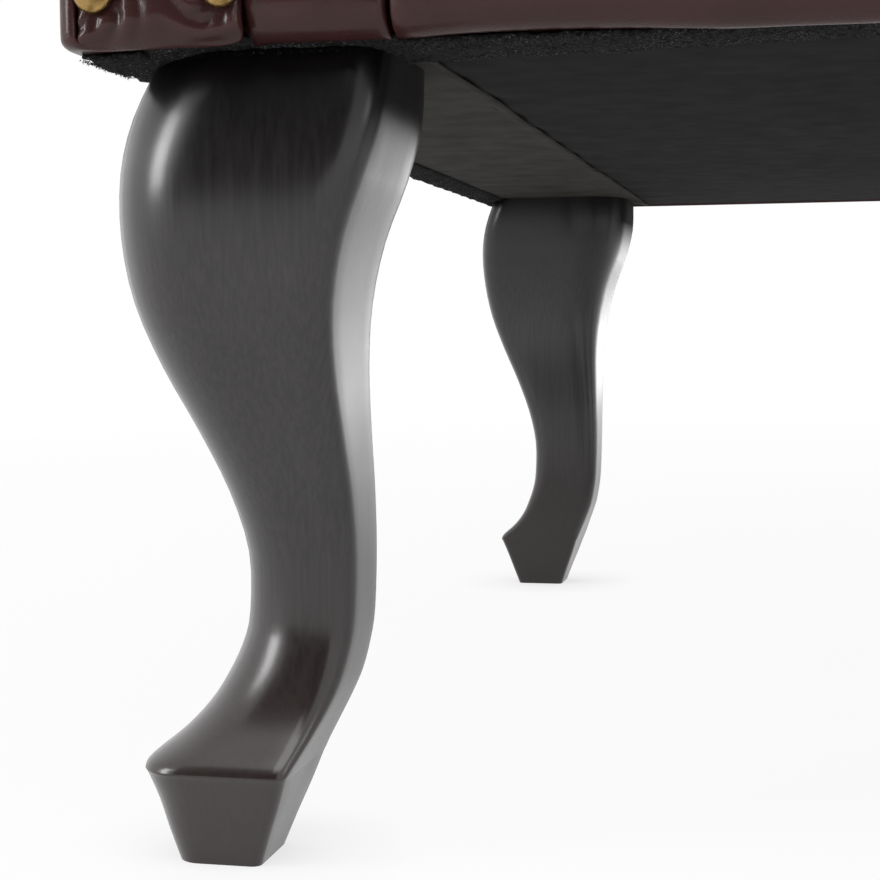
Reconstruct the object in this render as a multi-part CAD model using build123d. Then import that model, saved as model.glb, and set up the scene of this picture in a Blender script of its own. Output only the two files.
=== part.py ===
"""Wingback chair in oxblood leather: four short cabriole legs carry an upholstered seat box with rolled
arms, a raked and buttoned back with wings, a loose seat cushion and close brass nailing.

Frame: millimetres, +Z up, the chair faces -Y. It is built with Y = 0 at the leather of its front and
moved at the end, so that its origin is on the floor under the middle of its outline. Left is -X.
"""

import os
from math import atan2, ceil, cos, degrees, radians, sin, sqrt, tan

from build123d import *

# The chair as a whole
overall_height = 1070.0
seat_box_width = 660.0
seat_box_depth = 579.0
seat_width = 495.0
leg_height = 205.0
arm_height = 635.0
seat_deck_height = 327.0
back_rake = 12.2
rake_start_height = 310.0
crest_rise = 22.0
running_gap = 0.3
overrun = 10.0

# Leather and cloth
leather = 2.0
backed_leather = 3.0
turn_under_width = 12.0
lining = 2.0
front_hem_width = 27.0
hem_radius = 2.5
border_pad = 12.0
border_top_radius = 16.0
border_fold = 60.0

# Brass nails
nail_diameter = 10.4
nail_crown_diameter = 5.6
nail_height = 3.2
nail_pitch = 26.0
nail_inset = 6.0
first_nail_height = 13.0
nail_sides = 6

# Seat box frame
frame_board = 32.0
rail_thickness = 28.0
rail_height = 95.0
arm_post_depth = 60.0
back_post_depth = 40.0
corner_block_size = 58.0
corner_block_height = 70.0
corner_block_nose = 16.0

# Arms
arm_roll_diameter = 117.5
arm_rail_width = 70.0
arm_rail_thickness = 26.0
tack_rail_height = 40.0
tack_rail_rise = 60.0
arm_panel = 3.0
facing_stem_width = 42.0
facing_outer_inset = 5.0
facing_roll_inset = 6.0
facing_neck_radius = 30.0
front_wrap_setback = 3.0

# Wings
wing_reach = 318.0
wing_base_rise = 236.0
wing_edge_thickness = 60.0
wing_edge_round = 22.0
wing_edge_padding = 24.0

# Back
back_webbing = 1.5
back_foam = 56.0
back_quilt = 20.0
crest_cap = 12.0
crest_front_round = 34.0
crest_rail_height = 80.0
back_rail_height = 50.0
back_rail_rise = 70.0
tuft_pitch = 123.0
tuft_row_pitch = 76.0
tuft_rows = 7
first_tuft_rise = 200.0
tuft_depth = 13.0
pleat_width = 26.0
pleat_depth = 8.0
dimple_radius = 19.0
dimple_sides = 8
button_radius = 10.0
button_thickness = 5.0
button_sides = 12

# Seat suspension and deck
webbing_width = 50.0
webbing_thickness = 1.5
webbing_count = 5
webbing_lap = 22.0
burlap = 1.0
deck_cloth = 1.2

# Seat cushion
cushion_side_gap = 4.5
cushion_back_gap = 4.0
cushion_front_setback = 4.0
cushion_boxing = 96.0
cushion_crown = 24.0
cushion_base_crown = 8.0
cushion_corner_radius = 46.0
cushion_side_draw = 7.0
welt_diameter = 6.0
welt_sides = 6
zip_length = 380.0
zip_width = 24.0
zip_thickness = 1.2

# Cabriole legs: the same curve is sawn on both outer faces and on both inner faces
leg_inset = 4.5
leg_blank = 80.0
leg_side_round = 9.0
foot_rim_height = 25.0
glide_diameter = 20.0
glide_thickness = 2.0
bolt_radius = 4.0
bolt_place = 54.0
bolt_into_leg = 34.0
bolt_nut_radius = 9.0
bolt_nut_thickness = 6.0
bolt_nut_sides = 6
bolt_clearance = 0.3
leg_plate_size = 30.0
leg_plate_thickness = 2.5

# Heights up the leg above the foot's rim as shares of what is left of its height, then the place of the
# outer face, of the inner face, and the rounding of the knee and of the back corner, shares of the blank
leg_curve_shares = [
    (0.000, 0.060, 0.612, 0.30, 0.07),
    (0.045, 0.165, 0.656, 0.30, 0.07),
    (0.114, 0.272, 0.713, 0.27, 0.06),
    (0.205, 0.330, 0.748, 0.26, 0.06),
    (0.295, 0.332, 0.758, 0.26, 0.07),
    (0.386, 0.293, 0.759, 0.25, 0.08),
    (0.477, 0.222, 0.754, 0.24, 0.10),
    (0.568, 0.136, 0.752, 0.26, 0.12),
    (0.659, 0.060, 0.768, 0.28, 0.15),
    (0.750, 0.022, 0.806, 0.31, 0.18),
    (0.841, 0.018, 0.856, 0.33, 0.18),
    (0.920, 0.047, 0.902, 0.34, 0.16),
    (1.000, 0.111, 0.965, 0.35, 0.15),
]
foot_share = (0.189, 0.490, 0.17, 0.06)

# The wing's front edge, from the crest down: reach forward and height, shares of its reach and height
wing_edge_shares = [
    (0.30, 1.00),
    (1.00, 0.49),
    (0.91, 0.20),
    (0.97, 0.00),
]

# The cushion's crown: how far in from the seam and how high, shares of its half width and of its crown
crown_shares = [(0.0, 0.0), (0.08, 0.30), (0.24, 0.64), (0.48, 0.90), (0.74, 1.0)]
base_crown_shares = [(0.0, 0.0), (0.05, 0.6), (0.14, 1.0)]

# Places worked out from the sizes above
half_width = seat_box_width / 2
half_seat = seat_width / 2
arm_width = half_width - half_seat
frame_bottom = leg_height + lining
frame_face = backed_leather + border_pad
rail_top = frame_bottom + rail_height
webbing_top = rail_top + webbing_thickness * 2
roll_radius = arm_roll_diameter / 2
roll_height = arm_height - roll_radius
roll_place = arm_width - roll_radius
board_inner = backed_leather + frame_board
arm_rail_top = roll_height + arm_rail_thickness / 2
arm_rail_bottom = arm_rail_top - arm_rail_thickness
rake = radians(back_rake)
frame_front = backed_leather + frame_board
webbing_front = frame_front + back_webbing
foam_front = webbing_front + back_foam
back_front = foam_front + back_quilt
crest_centre = back_front - crest_front_round
crest_lift = overall_height - rake_start_height - crest_front_round - crest_centre * sin(rake)
back_top = crest_lift / cos(rake) + crest_front_round
wing_top = back_top - crest_rise
facing_roll_radius = roll_radius - facing_roll_inset
wrap_back = front_wrap_setback + leather


def left_x(inward):
    """The place of a point that lies this far inward of the left side's leather."""
    return inward - half_width


def block(low, high):
    """A square-cornered piece between two corners."""
    size = [top - bottom for bottom, top in zip(low, high)]
    middle = [(bottom + top) / 2 for bottom, top in zip(low, high)]
    return Pos(*middle) * Box(*size)


def polygon(points):
    """A flat face with straight edges through the points."""
    return make_face(Polyline(*points, close=True))


def from_front(face, near, far):
    """Give a face that is drawn in X and Z its depth, from near to far along Y."""
    return extrude(Plane.XZ.offset(-far) * face, far - near)


def from_side(face, low, high):
    """Give a face that is drawn in Y and Z its width, from low to high along X."""
    return extrude(Plane.YZ.offset(low) * face, high - low)


def raked(shape):
    """Place a shape of the back: X across, -Y forward of the rear leather, Z up along the back."""
    return Pos(0, seat_box_depth, rake_start_height) * Rot(-back_rake, 0, 0) * shape


def right_of(shape):
    """The same piece on the chair's other side."""
    return mirror(shape, Plane.YZ)


def rear_y(forward, height):
    """Where the back's layer that lies this far forward of its rear leather is at a height."""
    rise = height - rake_start_height
    bend = rake_start_height + forward * tan(rake / 2)
    if height <= bend:
        return seat_box_depth - forward
    return seat_box_depth + rise * tan(rake) - forward / cos(rake)


def rear_layer(front_layer, back_layer, low, high, x_low, x_high):
    """A piece that follows the bend of the back, between two layers and two heights."""
    front_bend = rake_start_height + front_layer * tan(rake / 2)
    rear_bend = rake_start_height + back_layer * tan(rake / 2)
    points = [
        (rear_y(front_layer, low), low),
        (rear_y(back_layer, low), low),
        (rear_y(back_layer, rear_bend), rear_bend),
        (rear_y(back_layer, high), high),
        (rear_y(front_layer, high), high),
        (rear_y(front_layer, front_bend), front_bend),
    ]
    return from_side(polygon(points), x_low, x_high)


def before_rear(forward):
    """All the space in front of one layer of the back."""
    wide = half_width + roll_radius
    return rear_layer(seat_box_depth * 2, forward, -overrun, overall_height * 2, -wide, wide)


# Cabriole legs


def leg_section(outer, inner, knee_round, back_round):
    """One level of the leg: a square with a round knee, drawn from its own outer corner."""
    low = outer * leg_blank
    high = inner * leg_blank
    corners = [(low, low), (high, low), (high, high), (low, high)]
    rounds = [knee_round * leg_blank, leg_side_round, back_round * leg_blank, leg_side_round]
    return FilletPolyline(*corners, radius=rounds, close=True)


def cabriole_leg():
    """A front left leg with its toe at the corner, from the floor to the seat box."""
    swing = leg_height - foot_rim_height
    curve = []
    for level, outer, inner, knee_round, back_round in leg_curve_shares:
        outline = leg_section(outer, inner, knee_round, back_round)
        curve.append(make_face(Pos(0, 0, foot_rim_height + level * swing) * outline))
    foot = [make_face(leg_section(*foot_share)), curve[0]]
    leg = loft(curve, ruled=True) + loft(foot, ruled=True)
    foot_middle = (foot_share[0] + foot_share[1]) / 2 * leg_blank
    recess = Cylinder(glide_diameter / 2 + bolt_clearance, glide_thickness * 2)
    hole = Cylinder(bolt_radius, bolt_into_leg * 2)
    leg -= Pos(foot_middle, foot_middle, 0) * recess
    leg -= Pos(bolt_place, bolt_place, leg_height) * hole
    return leg


def corner(shape, side, end):
    """Move a shape of the front left leg to the corner on this side, -1 or 1, and end, -1 or 1."""
    placed = Pos(leg_inset - half_width, leg_inset, 0) * shape
    if end > 0:
        placed = Pos(0, seat_box_depth, 0) * mirror(placed, Plane.XZ)
    return right_of(placed) if side > 0 else placed


def four_corners(shape):
    """Identical small parts, one at each leg."""
    return Compound([corner(shape, side, end) for end in (-1, 1) for side in (-1, 1)])


def leg_glide():
    """A flat plug let into the sole of the foot."""
    foot_middle = (foot_share[0] + foot_share[1]) / 2 * leg_blank
    disc = Cylinder(glide_diameter / 2, glide_thickness)
    return Pos(foot_middle, foot_middle, glide_thickness / 2) * disc


def hanger_bolt():
    """The screw that goes up from the leg through the corner block."""
    length = bolt_into_leg + lining + corner_block_height + bolt_nut_thickness * 2
    middle = leg_height - bolt_into_leg + length / 2
    return Pos(bolt_place, bolt_place, middle) * Cylinder(bolt_radius, length)


def bolt_nut():
    """The six-sided nut on top of the corner block."""
    bore = Circle(bolt_radius)
    outline = RegularPolygon(bolt_nut_radius, bolt_nut_sides) - bore
    seat = frame_bottom + corner_block_height
    return Pos(bolt_place, bolt_place, seat) * extrude(outline, bolt_nut_thickness)


def leg_plate():
    """The steel plate under the corner block that the leg is drawn up against."""
    outline = Rectangle(leg_plate_size, leg_plate_size) - Circle(bolt_radius + bolt_clearance)
    return Pos(bolt_place, bolt_place, frame_bottom) * extrude(outline, leg_plate_thickness)


def corner_block():
    """A glued block with its inner corner sawn off, in the corner of two rails."""
    start_x = board_inner - leg_inset
    start_y = frame_face + rail_thickness - leg_inset
    points = [
        (start_x, start_y),
        (start_x + corner_block_size, start_y),
        (start_x + corner_block_size, start_y + corner_block_nose),
        (start_x + corner_block_nose, start_y + corner_block_size),
        (start_x, start_y + corner_block_size),
    ]
    body = Pos(0, 0, frame_bottom) * extrude(polygon(points), corner_block_height)
    pocket = Rectangle(leg_plate_size + bolt_clearance, leg_plate_size + bolt_clearance)
    hole = Circle(bolt_radius + bolt_clearance)
    body -= Pos(bolt_place, bolt_place, frame_bottom) * extrude(pocket, leg_plate_thickness)
    return body - Pos(bolt_place, bolt_place, frame_bottom) * extrude(hole, corner_block_height)


# Linings under the seat box


def bolt_holes(shape):
    """Open a sheet where the four hanger bolts pass."""
    hole = Pos(bolt_place, bolt_place, leg_height) * Cylinder(bolt_radius + bolt_clearance, lining * 4)
    return shape - four_corners(hole)


def arm_lining():
    """The strip of cloth under the left arm, inside the turned-under leather."""
    low = (left_x(turn_under_width), turn_under_width, leg_height)
    high = (left_x(arm_width), seat_box_depth - turn_under_width, frame_bottom)
    return bolt_holes(block(low, high))


def front_hem():
    """The black felt strip behind the turned-under leather of the front."""
    low = (-half_seat, turn_under_width, leg_height)
    return block(low, (half_seat, turn_under_width + front_hem_width, frame_bottom))


def dust_cover():
    """The black cloth stapled over the underside of the seat between the arms."""
    low = (-half_seat, turn_under_width + front_hem_width, leg_height)
    return block(low, (half_seat, seat_box_depth - turn_under_width, frame_bottom))


# The wooden frame


def back_post():
    """The left post, sawn with the bend of the back, from the lining to the crest."""
    top = rake_start_height + (wing_top - crest_cap) * cos(rake)
    low, high = left_x(backed_leather), left_x(board_inner)
    return rear_layer(backed_leather + back_post_depth, backed_leather, frame_bottom, top, low, high)


def arm_post():
    """The upright behind the left facing that carries the arm rail."""
    low = (left_x(backed_leather), frame_face, frame_bottom)
    return block(low, (left_x(board_inner), frame_face + arm_post_depth, arm_rail_bottom))


def side_rail():
    """The seat rail under the left arm, between its two posts."""
    low = (left_x(backed_leather), frame_face + arm_post_depth, frame_bottom)
    rear = seat_box_depth - backed_leather - back_post_depth
    return block(low, (left_x(board_inner), rear, rail_top))


def front_rail():
    """The seat rail behind the front border."""
    end = half_width - board_inner
    return block((-end, frame_face, frame_bottom), (end, frame_face + rail_thickness, rail_top))


def rear_rail():
    """The seat rail between the two back posts."""
    end = half_width - board_inner
    rear = seat_box_depth - backed_leather
    return block((-end, rear - rail_thickness, frame_bottom), (end, rear, rail_top))


def arm_rail():
    """The flat rail inside the arm's roll, from the arm post to the back post."""
    middle = left_x(roll_place)
    low = (middle - arm_rail_width / 2, frame_face, arm_rail_bottom)
    high = (middle + arm_rail_width / 2, seat_box_depth * 2, arm_rail_top)
    return (block(low, high) & before_rear(backed_leather)) - back_post()


def arm_tack_rail():
    """The low rail that the inside arm leather is pulled under and tacked to."""
    bottom = rail_top + tack_rail_rise
    low = (left_x(backed_leather), frame_face + arm_post_depth, bottom)
    high = (left_x(board_inner), seat_box_depth * 2, bottom + tack_rail_height)
    return block(low, high) & before_rear(backed_leather + back_post_depth)


def arm_inner_panel():
    """The fibreboard that closes the arm's frame on the sitter's side."""
    low = (left_x(board_inner), frame_face, webbing_top)
    high = (left_x(board_inner + arm_panel), seat_box_depth * 2, arm_rail_bottom)
    return block(low, high) & before_rear(frame_front)


def back_rail():
    """The low rail of the back frame, between the posts."""
    end = half_width - board_inner
    low = (-end, -frame_front, back_rail_rise)
    return raked(block(low, (end, -backed_leather, back_rail_rise + back_rail_height)))


def crest_outline(inset):
    """The back seen from the front: square sides and a shallow arch on top."""
    end = half_seat - running_gap
    arch = ThreePointArc((-end, wing_top - inset), (0, back_top - inset), (end, wing_top - inset))
    foot = -rail_height
    sides = Polyline((end, wing_top - inset), (end, foot), (-end, foot), (-end, wing_top - inset))
    return make_face(arch + sides)


def crest_rail():
    """The arched top rail of the back frame."""
    board = from_front(crest_outline(crest_cap), -frame_front, -backed_leather)
    low = (-half_seat, -frame_front, wing_top - crest_cap - crest_rail_height)
    window = block(low, (half_seat, -backed_leather, back_top))
    middle = raked(board & window)
    end = half_width - board_inner
    low = (-end, -frame_front, wing_top - crest_cap - crest_rail_height)
    side = block(low, (running_gap - half_seat, -backed_leather, wing_top - crest_cap))
    return middle + raked(side) + right_of(raked(side))


# Arms


def arm_section(inset, inner_inset, outer, bottom):
    """The arm seen from the front: a full roll on a straight inner side."""
    roll = Pos(left_x(roll_place), roll_height) * Circle(roll_radius - inset)
    low, high = left_x(outer), left_x(arm_width - inner_inset)
    return roll + polygon([(low, bottom), (high, bottom), (high, roll_height), (low, roll_height)])


def arm_outer_form():
    """What other pieces keep clear of: the finished left arm, and some more behind and inward."""
    section = arm_section(-running_gap, -overrun, board_inner, webbing_top)
    return from_front(section, 0, seat_box_depth * 2)


def facing_outline(inset):
    """The front of the arm's facing: a narrow stem that opens into a disc."""
    roll = Pos(left_x(roll_place), roll_height) * Circle(facing_roll_radius - inset)
    low = left_x(facing_outer_inset + inset)
    high = left_x(facing_outer_inset + facing_stem_width - inset)
    stem = polygon([(low, leg_height), (high, leg_height), (high, roll_height), (low, roll_height)])
    joined = roll + stem
    necks = [v for v in joined.vertices() if leg_height + overrun < v.Y < roll_height]
    neck = max(necks, key=lambda vertex: vertex.X)
    return fillet(neck, facing_neck_radius)


def facing_board():
    """The shaped board behind the leather of the facing."""
    board = from_front(facing_outline(leather), leather, frame_face)
    return board & block((-seat_box_width, 0, frame_bottom), (0, frame_face, arm_height))


def facing_cover():
    """The leather of the facing, drawn over the board's edges."""
    return from_front(facing_outline(0), 0, wrap_back) - facing_board()


def outside_arm_cover():
    """The backed leather of the arm's outer side, turned in at the front and under at the bottom."""
    rear = seat_box_depth * 2
    panel = block((left_x(0), 0, leg_height), (left_x(backed_leather), rear, roll_height))
    turn_in = block((left_x(0), 0, leg_height), (left_x(facing_outer_inset), wrap_back, roll_height))
    low = (left_x(0), wrap_back, leg_height)
    turned_under = block(low, (left_x(turn_under_width), rear, frame_bottom))
    cover = (panel + turn_in + turned_under) & before_rear(backed_leather)
    front_edge = cover.edges().filter_by(Axis.Z).sort_by(Axis.Y)[:2].sort_by(Axis.X)[0]
    cover = fillet(front_edge, hem_radius)
    roll = Pos(left_x(roll_place), roll_height) * Circle(roll_radius)
    return cover - from_front(roll, -overrun, rear)


def inside_arm_cover():
    """The leather over the roll and down the sitter's side, closed over the front."""
    rear = seat_box_depth * 2
    middle = Pos(left_x(roll_place), roll_height)
    ring = middle * (Circle(roll_radius) - Circle(roll_radius - leather))
    low, high = left_x(backed_leather), left_x(arm_width - leather)
    ring -= polygon([(low, 0), (high, 0), (high, roll_height), (low, roll_height)])
    inner = left_x(arm_width)
    side = polygon([(high, webbing_top), (inner, webbing_top), (inner, roll_height), (high, roll_height)])
    cover = from_front(ring + side, front_wrap_setback, rear) & before_rear(backed_leather)
    closed = arm_section(0, 0, facing_outer_inset, leg_height) - facing_outline(0)
    cover += from_front(closed, front_wrap_setback, wrap_back)
    stem_edge = left_x(facing_outer_inset + facing_stem_width)
    low = (stem_edge, front_wrap_setback, leg_height)
    return cover + block(low, (inner, turn_under_width, frame_bottom))


def arm_foam():
    """The padding of the roll and of the sitter's side."""
    section = arm_section(leather, leather, board_inner, webbing_top)
    return from_front(section, wrap_back, seat_box_depth * 2) & before_rear(backed_leather)


# Wings, in the raked frame of the back


def wing_edge(inset):
    """The wing's front edge as arcs from the crest down, this far inside the finished one."""
    height = wing_top - wing_base_rise
    points = [(-across * wing_reach, wing_base_rise + up * height) for across, up in wing_edge_shares]
    heading = Vector(-1, 0)
    places = []
    headings = []
    for start, end in zip(points, points[1:]):
        arc = TangentArc(start, end, tangent=heading)
        places.append((start[0] - heading.Y * inset, start[1] + heading.X * inset))
        headings.append(heading)
        heading = arc.tangent_at(1)
    places.append((points[-1][0] - heading.Y * inset, points[-1][1] + heading.X * inset))
    return Wire([TangentArc(a, b, tangent=along).edge() for a, b, along in zip(places, places[1:], headings)])


def wing_outline(inset, rear):
    """The wing seen from the side, between a layer of the back and its curved front edge."""
    edge = wing_edge(inset)
    top, bottom = edge.position_at(0), edge.position_at(1)
    straight = Polyline((bottom.X, bottom.Y), (-rear, bottom.Y), (-rear, top.Y), (top.X, top.Y))
    return make_face(Wire([*edge.edges(), *straight.edges()]))


def wing_form(inset, rear):
    """The padded wing: thick where it meets the back, thinner at its rounded front edge."""
    low, high = left_x(inset), left_x(arm_width - inset)
    form = from_side(wing_outline(inset, rear), low, high)
    tip = (left_x(wing_edge_thickness - inset), -wing_reach - overrun)
    inner_side = TangentArc((high, -back_front), tip, tangent=(0, -1))
    rest = Polyline(tip, (low, tip[1]), (low, overrun * 2), (high, overrun * 2), (high, -back_front))
    form &= extrude(make_face(inner_side + rest), back_top * 2)
    curved = [edge for edge in form.edges() if edge.geom_type != GeomType.LINE]
    curved = [edge for edge in curved if edge.bounding_box().size.Z > overrun]
    return fillet(curved, wing_edge_round - inset)


def outside_wing_slab():
    """The thickness of the backed leather on the wing's outer side."""
    return block((left_x(0), -wing_reach * 2, 0), (left_x(backed_leather), 0, back_top))


def wing_core():
    """All that the wing's inner leather encloses, and some more behind."""
    return wing_form(leather, -overrun)


def wing_frame():
    """The wing's board, on the arm rail and against the back post."""
    low, high = left_x(backed_leather), left_x(board_inner)
    rear = backed_leather + back_post_depth
    board = raked(from_side(wing_outline(wing_edge_padding, rear), low, high))
    below = block((-seat_box_width, -seat_box_depth, -overrun), (0, seat_box_depth * 2, arm_rail_top))
    return board - below - back_post()


def outside_wing_cover():
    """The backed leather of the wing's outer side, down to the arm's roll."""
    return raked(wing_form(0, backed_leather) & outside_wing_slab()) - arm_outer_form()


def inside_wing_cover():
    """The leather over the wing's padding, drawn round its front edge."""
    form = wing_form(0, backed_leather) - outside_wing_slab()
    return without(raked(form - wing_core()), arm_outer_form(), back_post(), crest_rail())


def wing_foam():
    """The wing's padding round its board."""
    window = block((left_x(backed_leather), -wing_reach, 0), (-half_seat, -backed_leather, back_top))
    core = raked(wing_core() & window)
    return without(core, arm_outer_form(), wing_frame(), back_post(), crest_rail())


# Back


def back_form(inset, top_inset, front, rear):
    """The back's cushion between two layers, with an arched and rounded top."""
    form = from_front(crest_outline(top_inset), -front, -rear)
    arched = form.edges().filter_by(GeomType.CIRCLE).sort_by(Axis.Y)
    form = fillet(arched[0], crest_front_round - inset)
    far = seat_box_depth * 2
    return raked(form) - block((-half_width, -far, -overrun), (half_width, far, seat_deck_height))


def tufts():
    """Where the buttons are: rows that take turns, half a pitch apart, as X and height up the back."""
    places = []
    for row in range(tuft_rows):
        shift = 0 if row % 2 else tuft_pitch / 2
        height = first_tuft_rise + row * tuft_row_pitch
        count = int((half_seat - dimple_radius - shift) // tuft_pitch)
        side = [shift + step * tuft_pitch for step in range(count + 1)]
        places += [(x, height) for x in sorted(set(side + [-x for x in side]))]
    return places


def pleat(start, end):
    """A sewn fold in the leather between two buttons, as the wedge that it takes away."""
    across, up = end[0] - start[0], end[1] - start[1]
    length = sqrt(across * across + up * up)
    path = Plane(origin=(start[0], 0, start[1]), x_dir=(up, 0, -across), z_dir=(across, 0, up))
    return extrude(path * polygon([(-pleat_width / 2, 0), (pleat_width / 2, 0), (0, pleat_depth)]), length)


def quilting():
    """All the dimples and pleats of the inside back, on its front surface at -Y."""
    places = tufts()
    rows = sorted({height for x, height in places})
    dimple_taper = degrees(atan2(dimple_radius - button_radius - running_gap, tuft_depth))
    cuts = []
    for x, height in places:
        opening = RegularPolygon(dimple_radius, dimple_sides, major_radius=False)
        cone = extrude(opening, tuft_depth, taper=dimple_taper)
        cuts.append(Pos(x, 0, height) * Rot(-90, 0, 0) * cone)
        for step in (-tuft_pitch / 2, tuft_pitch / 2):
            if height < rows[-1] and abs(x + step) < half_seat:
                cuts.append(pleat((x, height), (x + step, height + tuft_row_pitch)))
            if height > rows[0] and (x + step, height - tuft_row_pitch) not in places:
                cuts.append(pleat((x, height), (x + step, height - tuft_row_pitch)))
        if height == rows[-1]:
            cuts.append(pleat((x, height), (x, back_top)))
        if height == rows[0]:
            cuts.append(pleat((x, height), (x, height - first_tuft_rise)))
    return cuts


def inside_back_cover():
    """The quilted leather of the inside back, drawn over the crest."""
    cover = back_form(0, 0, back_front, backed_leather)
    cover -= back_form(back_quilt, crest_cap, foam_front, backed_leather)
    hollow_top = wing_top - crest_cap - crest_rail_height
    cover -= raked(block((-half_seat, -foam_front, -rail_height), (half_seat, 0, hollow_top)))
    return cover - [raked(Pos(0, -back_front, 0) * cut) for cut in quilting()]


def back_buttons():
    """The covered buttons at the bottom of the dimples."""
    disc = extrude(RegularPolygon(button_radius, button_sides), button_thickness)
    seat = -back_front + tuft_depth
    buttons = [raked(Pos(x, seat, height) * Rot(90, 0, 0) * disc) for x, height in tufts()]
    return Compound(buttons)


def back_foam_block():
    """The foam of the back, on its webbing."""
    return back_form(back_quilt, crest_cap, foam_front, webbing_front)


def strap_places(low, high, count):
    """Even places for straps between two ends."""
    return [low + (high - low) * (step + 1 / 2) / count for step in range(count)]


def back_straps():
    """The upright webbing of the back, from the back rail to the crest rail."""
    top = wing_top - crest_cap - crest_rail_height + webbing_lap
    bottom = back_rail_rise + back_rail_height - webbing_lap
    straps = []
    for x in strap_places(-half_seat, half_seat, webbing_count):
        low = (x - webbing_width / 2, -webbing_front, bottom)
        straps.append(raked(block(low, (x + webbing_width / 2, -frame_front, top))))
    return Compound(straps)


def outside_back_cover():
    """The backed leather of the rear, from the seat box to the crest, with the rolls' ends."""
    roll = Pos(left_x(roll_place), roll_height) * Circle(roll_radius)
    low = polygon(
        [
            (-half_width, leg_height),
            (half_width, leg_height),
            (half_width, roll_height),
            (-half_width, roll_height),
        ]
    )
    low_part = from_front(low + roll + mirror(roll, Plane.YZ), 0, seat_box_depth * 2)
    layer = rear_layer(backed_leather, 0, leg_height, arm_height, -seat_box_width, seat_box_width)
    arch = ThreePointArc((-half_seat, wing_top), (0, back_top), (half_seat, wing_top))
    start = wing_base_rise / 2
    left = Polyline((-half_seat, wing_top), (-half_width, wing_top), (-half_width, start), (0, start))
    right = Polyline((half_seat, wing_top), (half_width, wing_top), (half_width, start), (0, start))
    face = make_face(arch + left + right)
    outer = [v for v in face.vertices() if v.Y > start + overrun and abs(v.X) > half_seat + overrun]
    face = fillet(outer, wing_edge_round)
    high_part = raked(from_front(face, -backed_leather, 0))
    lip_front = seat_box_depth - turn_under_width
    lip_end = left_x(turn_under_width)
    lip = block((lip_end, lip_front, leg_height), (-lip_end, seat_box_depth, frame_bottom))
    return (low_part & layer) + high_part + lip


# Seat


def front_border_outline(inset):
    """The seat's front seen from the side, with a rounded top edge."""
    low, high = leg_height + inset, seat_deck_height - inset
    face = polygon([(inset, low), (border_fold, low), (border_fold, high), (inset, high)])
    corner_top = [v for v in face.vertices() if v.X < border_fold / 2 and v.Y > (low + high) / 2]
    return fillet(corner_top, border_top_radius - inset)


def front_border_cover():
    """The leather of the seat's front, over the edge of the deck and under the rail."""
    shell = front_border_outline(0) - front_border_outline(leather)
    top = seat_deck_height - leather
    rear = border_fold * 2
    shell -= polygon([(turn_under_width, 0), (rear, 0), (rear, top), (turn_under_width, top)])
    return from_side(shell, running_gap - half_seat, half_seat - running_gap)


def front_border_pad():
    """The padding of the seat's front edge."""
    core = from_side(front_border_outline(leather), running_gap - half_seat, half_seat - running_gap)
    core -= block((-half_seat, frame_face, 0), (half_seat, border_fold * 2, webbing_top + burlap))
    return core


def arm_front_pad():
    """The padding behind the leather between the facing and the seat."""
    low = (left_x(facing_outer_inset + facing_stem_width), wrap_back, frame_bottom)
    return block(low, (left_x(arm_width), frame_face, webbing_top))


def seat_straps():
    """The seat's webbing: straps from front to rear, and straps across on top of them."""
    straps = []
    front = frame_face + rail_thickness - webbing_lap
    rear = seat_box_depth - backed_leather - rail_thickness + webbing_lap
    for x in strap_places(-half_seat, half_seat, webbing_count):
        low = (x - webbing_width / 2, front, rail_top)
        straps.append(block(low, (x + webbing_width / 2, rear, rail_top + webbing_thickness)))
    end = half_width - board_inner + webbing_lap
    inner_front = frame_face + arm_post_depth
    inner_rear = seat_box_depth - backed_leather - back_post_depth
    for y in strap_places(inner_front, inner_rear, webbing_count):
        low = (-end, y - webbing_width / 2, rail_top + webbing_thickness)
        straps.append(block(low, (end, y + webbing_width / 2, webbing_top)))
    return Compound(straps)


def deck_layer(bottom, top, front):
    """One layer of the seat deck between the arms."""
    end = half_seat - running_gap
    rear = seat_box_depth - frame_front
    return block((-end, front, bottom), (end, rear, top))


def seat_burlap():
    """The burlap over the seat's webbing."""
    return deck_layer(webbing_top, webbing_top + burlap, frame_face)


def deck_pad():
    """The thin pad of the deck."""
    return deck_layer(webbing_top + burlap, seat_deck_height - deck_cloth, border_fold)


def deck_cover():
    """The plain cloth over the deck, under the loose cushion."""
    return deck_layer(seat_deck_height - deck_cloth, seat_deck_height, border_fold)


# Loose seat cushion

cushion_half_width = half_seat - cushion_side_gap
cushion_front = cushion_front_setback
cushion_rear = rear_y(back_front, seat_deck_height) - cushion_back_gap
cushion_half_depth = (cushion_rear - cushion_front) / 2
cushion_middle = (cushion_rear + cushion_front) / 2
cushion_bottom = seat_deck_height + running_gap
low_seam = cushion_bottom + cushion_base_crown
high_seam = low_seam + cushion_boxing


def cushion_outline(inset, share, height):
    """The cushion's outline in plan: round corners, and sides that draw in between them."""
    turn = cushion_corner_radius
    wide = (cushion_half_width - inset) * (1 - share)
    deep = (cushion_half_depth - inset) * (1 - share)
    lean = 2 * atan2(cushion_side_draw, cushion_half_width - turn)
    front_draw = (wide - turn) * tan(lean / 2)
    side_draw = (deep - turn) * tan(lean / 2)
    front = ThreePointArc((turn - wide, -deep), (0, front_draw - deep), (wide - turn, -deep))
    front_corner = TangentArc((wide - turn, -deep), (wide, turn - deep), tangent=(cos(lean), -sin(lean)))
    side = ThreePointArc((wide, turn - deep), (wide - side_draw, 0), (wide, deep - turn))
    rear_corner = TangentArc((wide, deep - turn), (wide - turn, deep), tangent=(sin(lean), cos(lean)))
    half = [front, front_corner, side, rear_corner]
    edges = [edge.edge() for edge in half] + [(Rot(0, 0, 180) * edge).edge() for edge in half]
    return Pos(0, cushion_middle, height) * Wire(edges)


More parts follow.
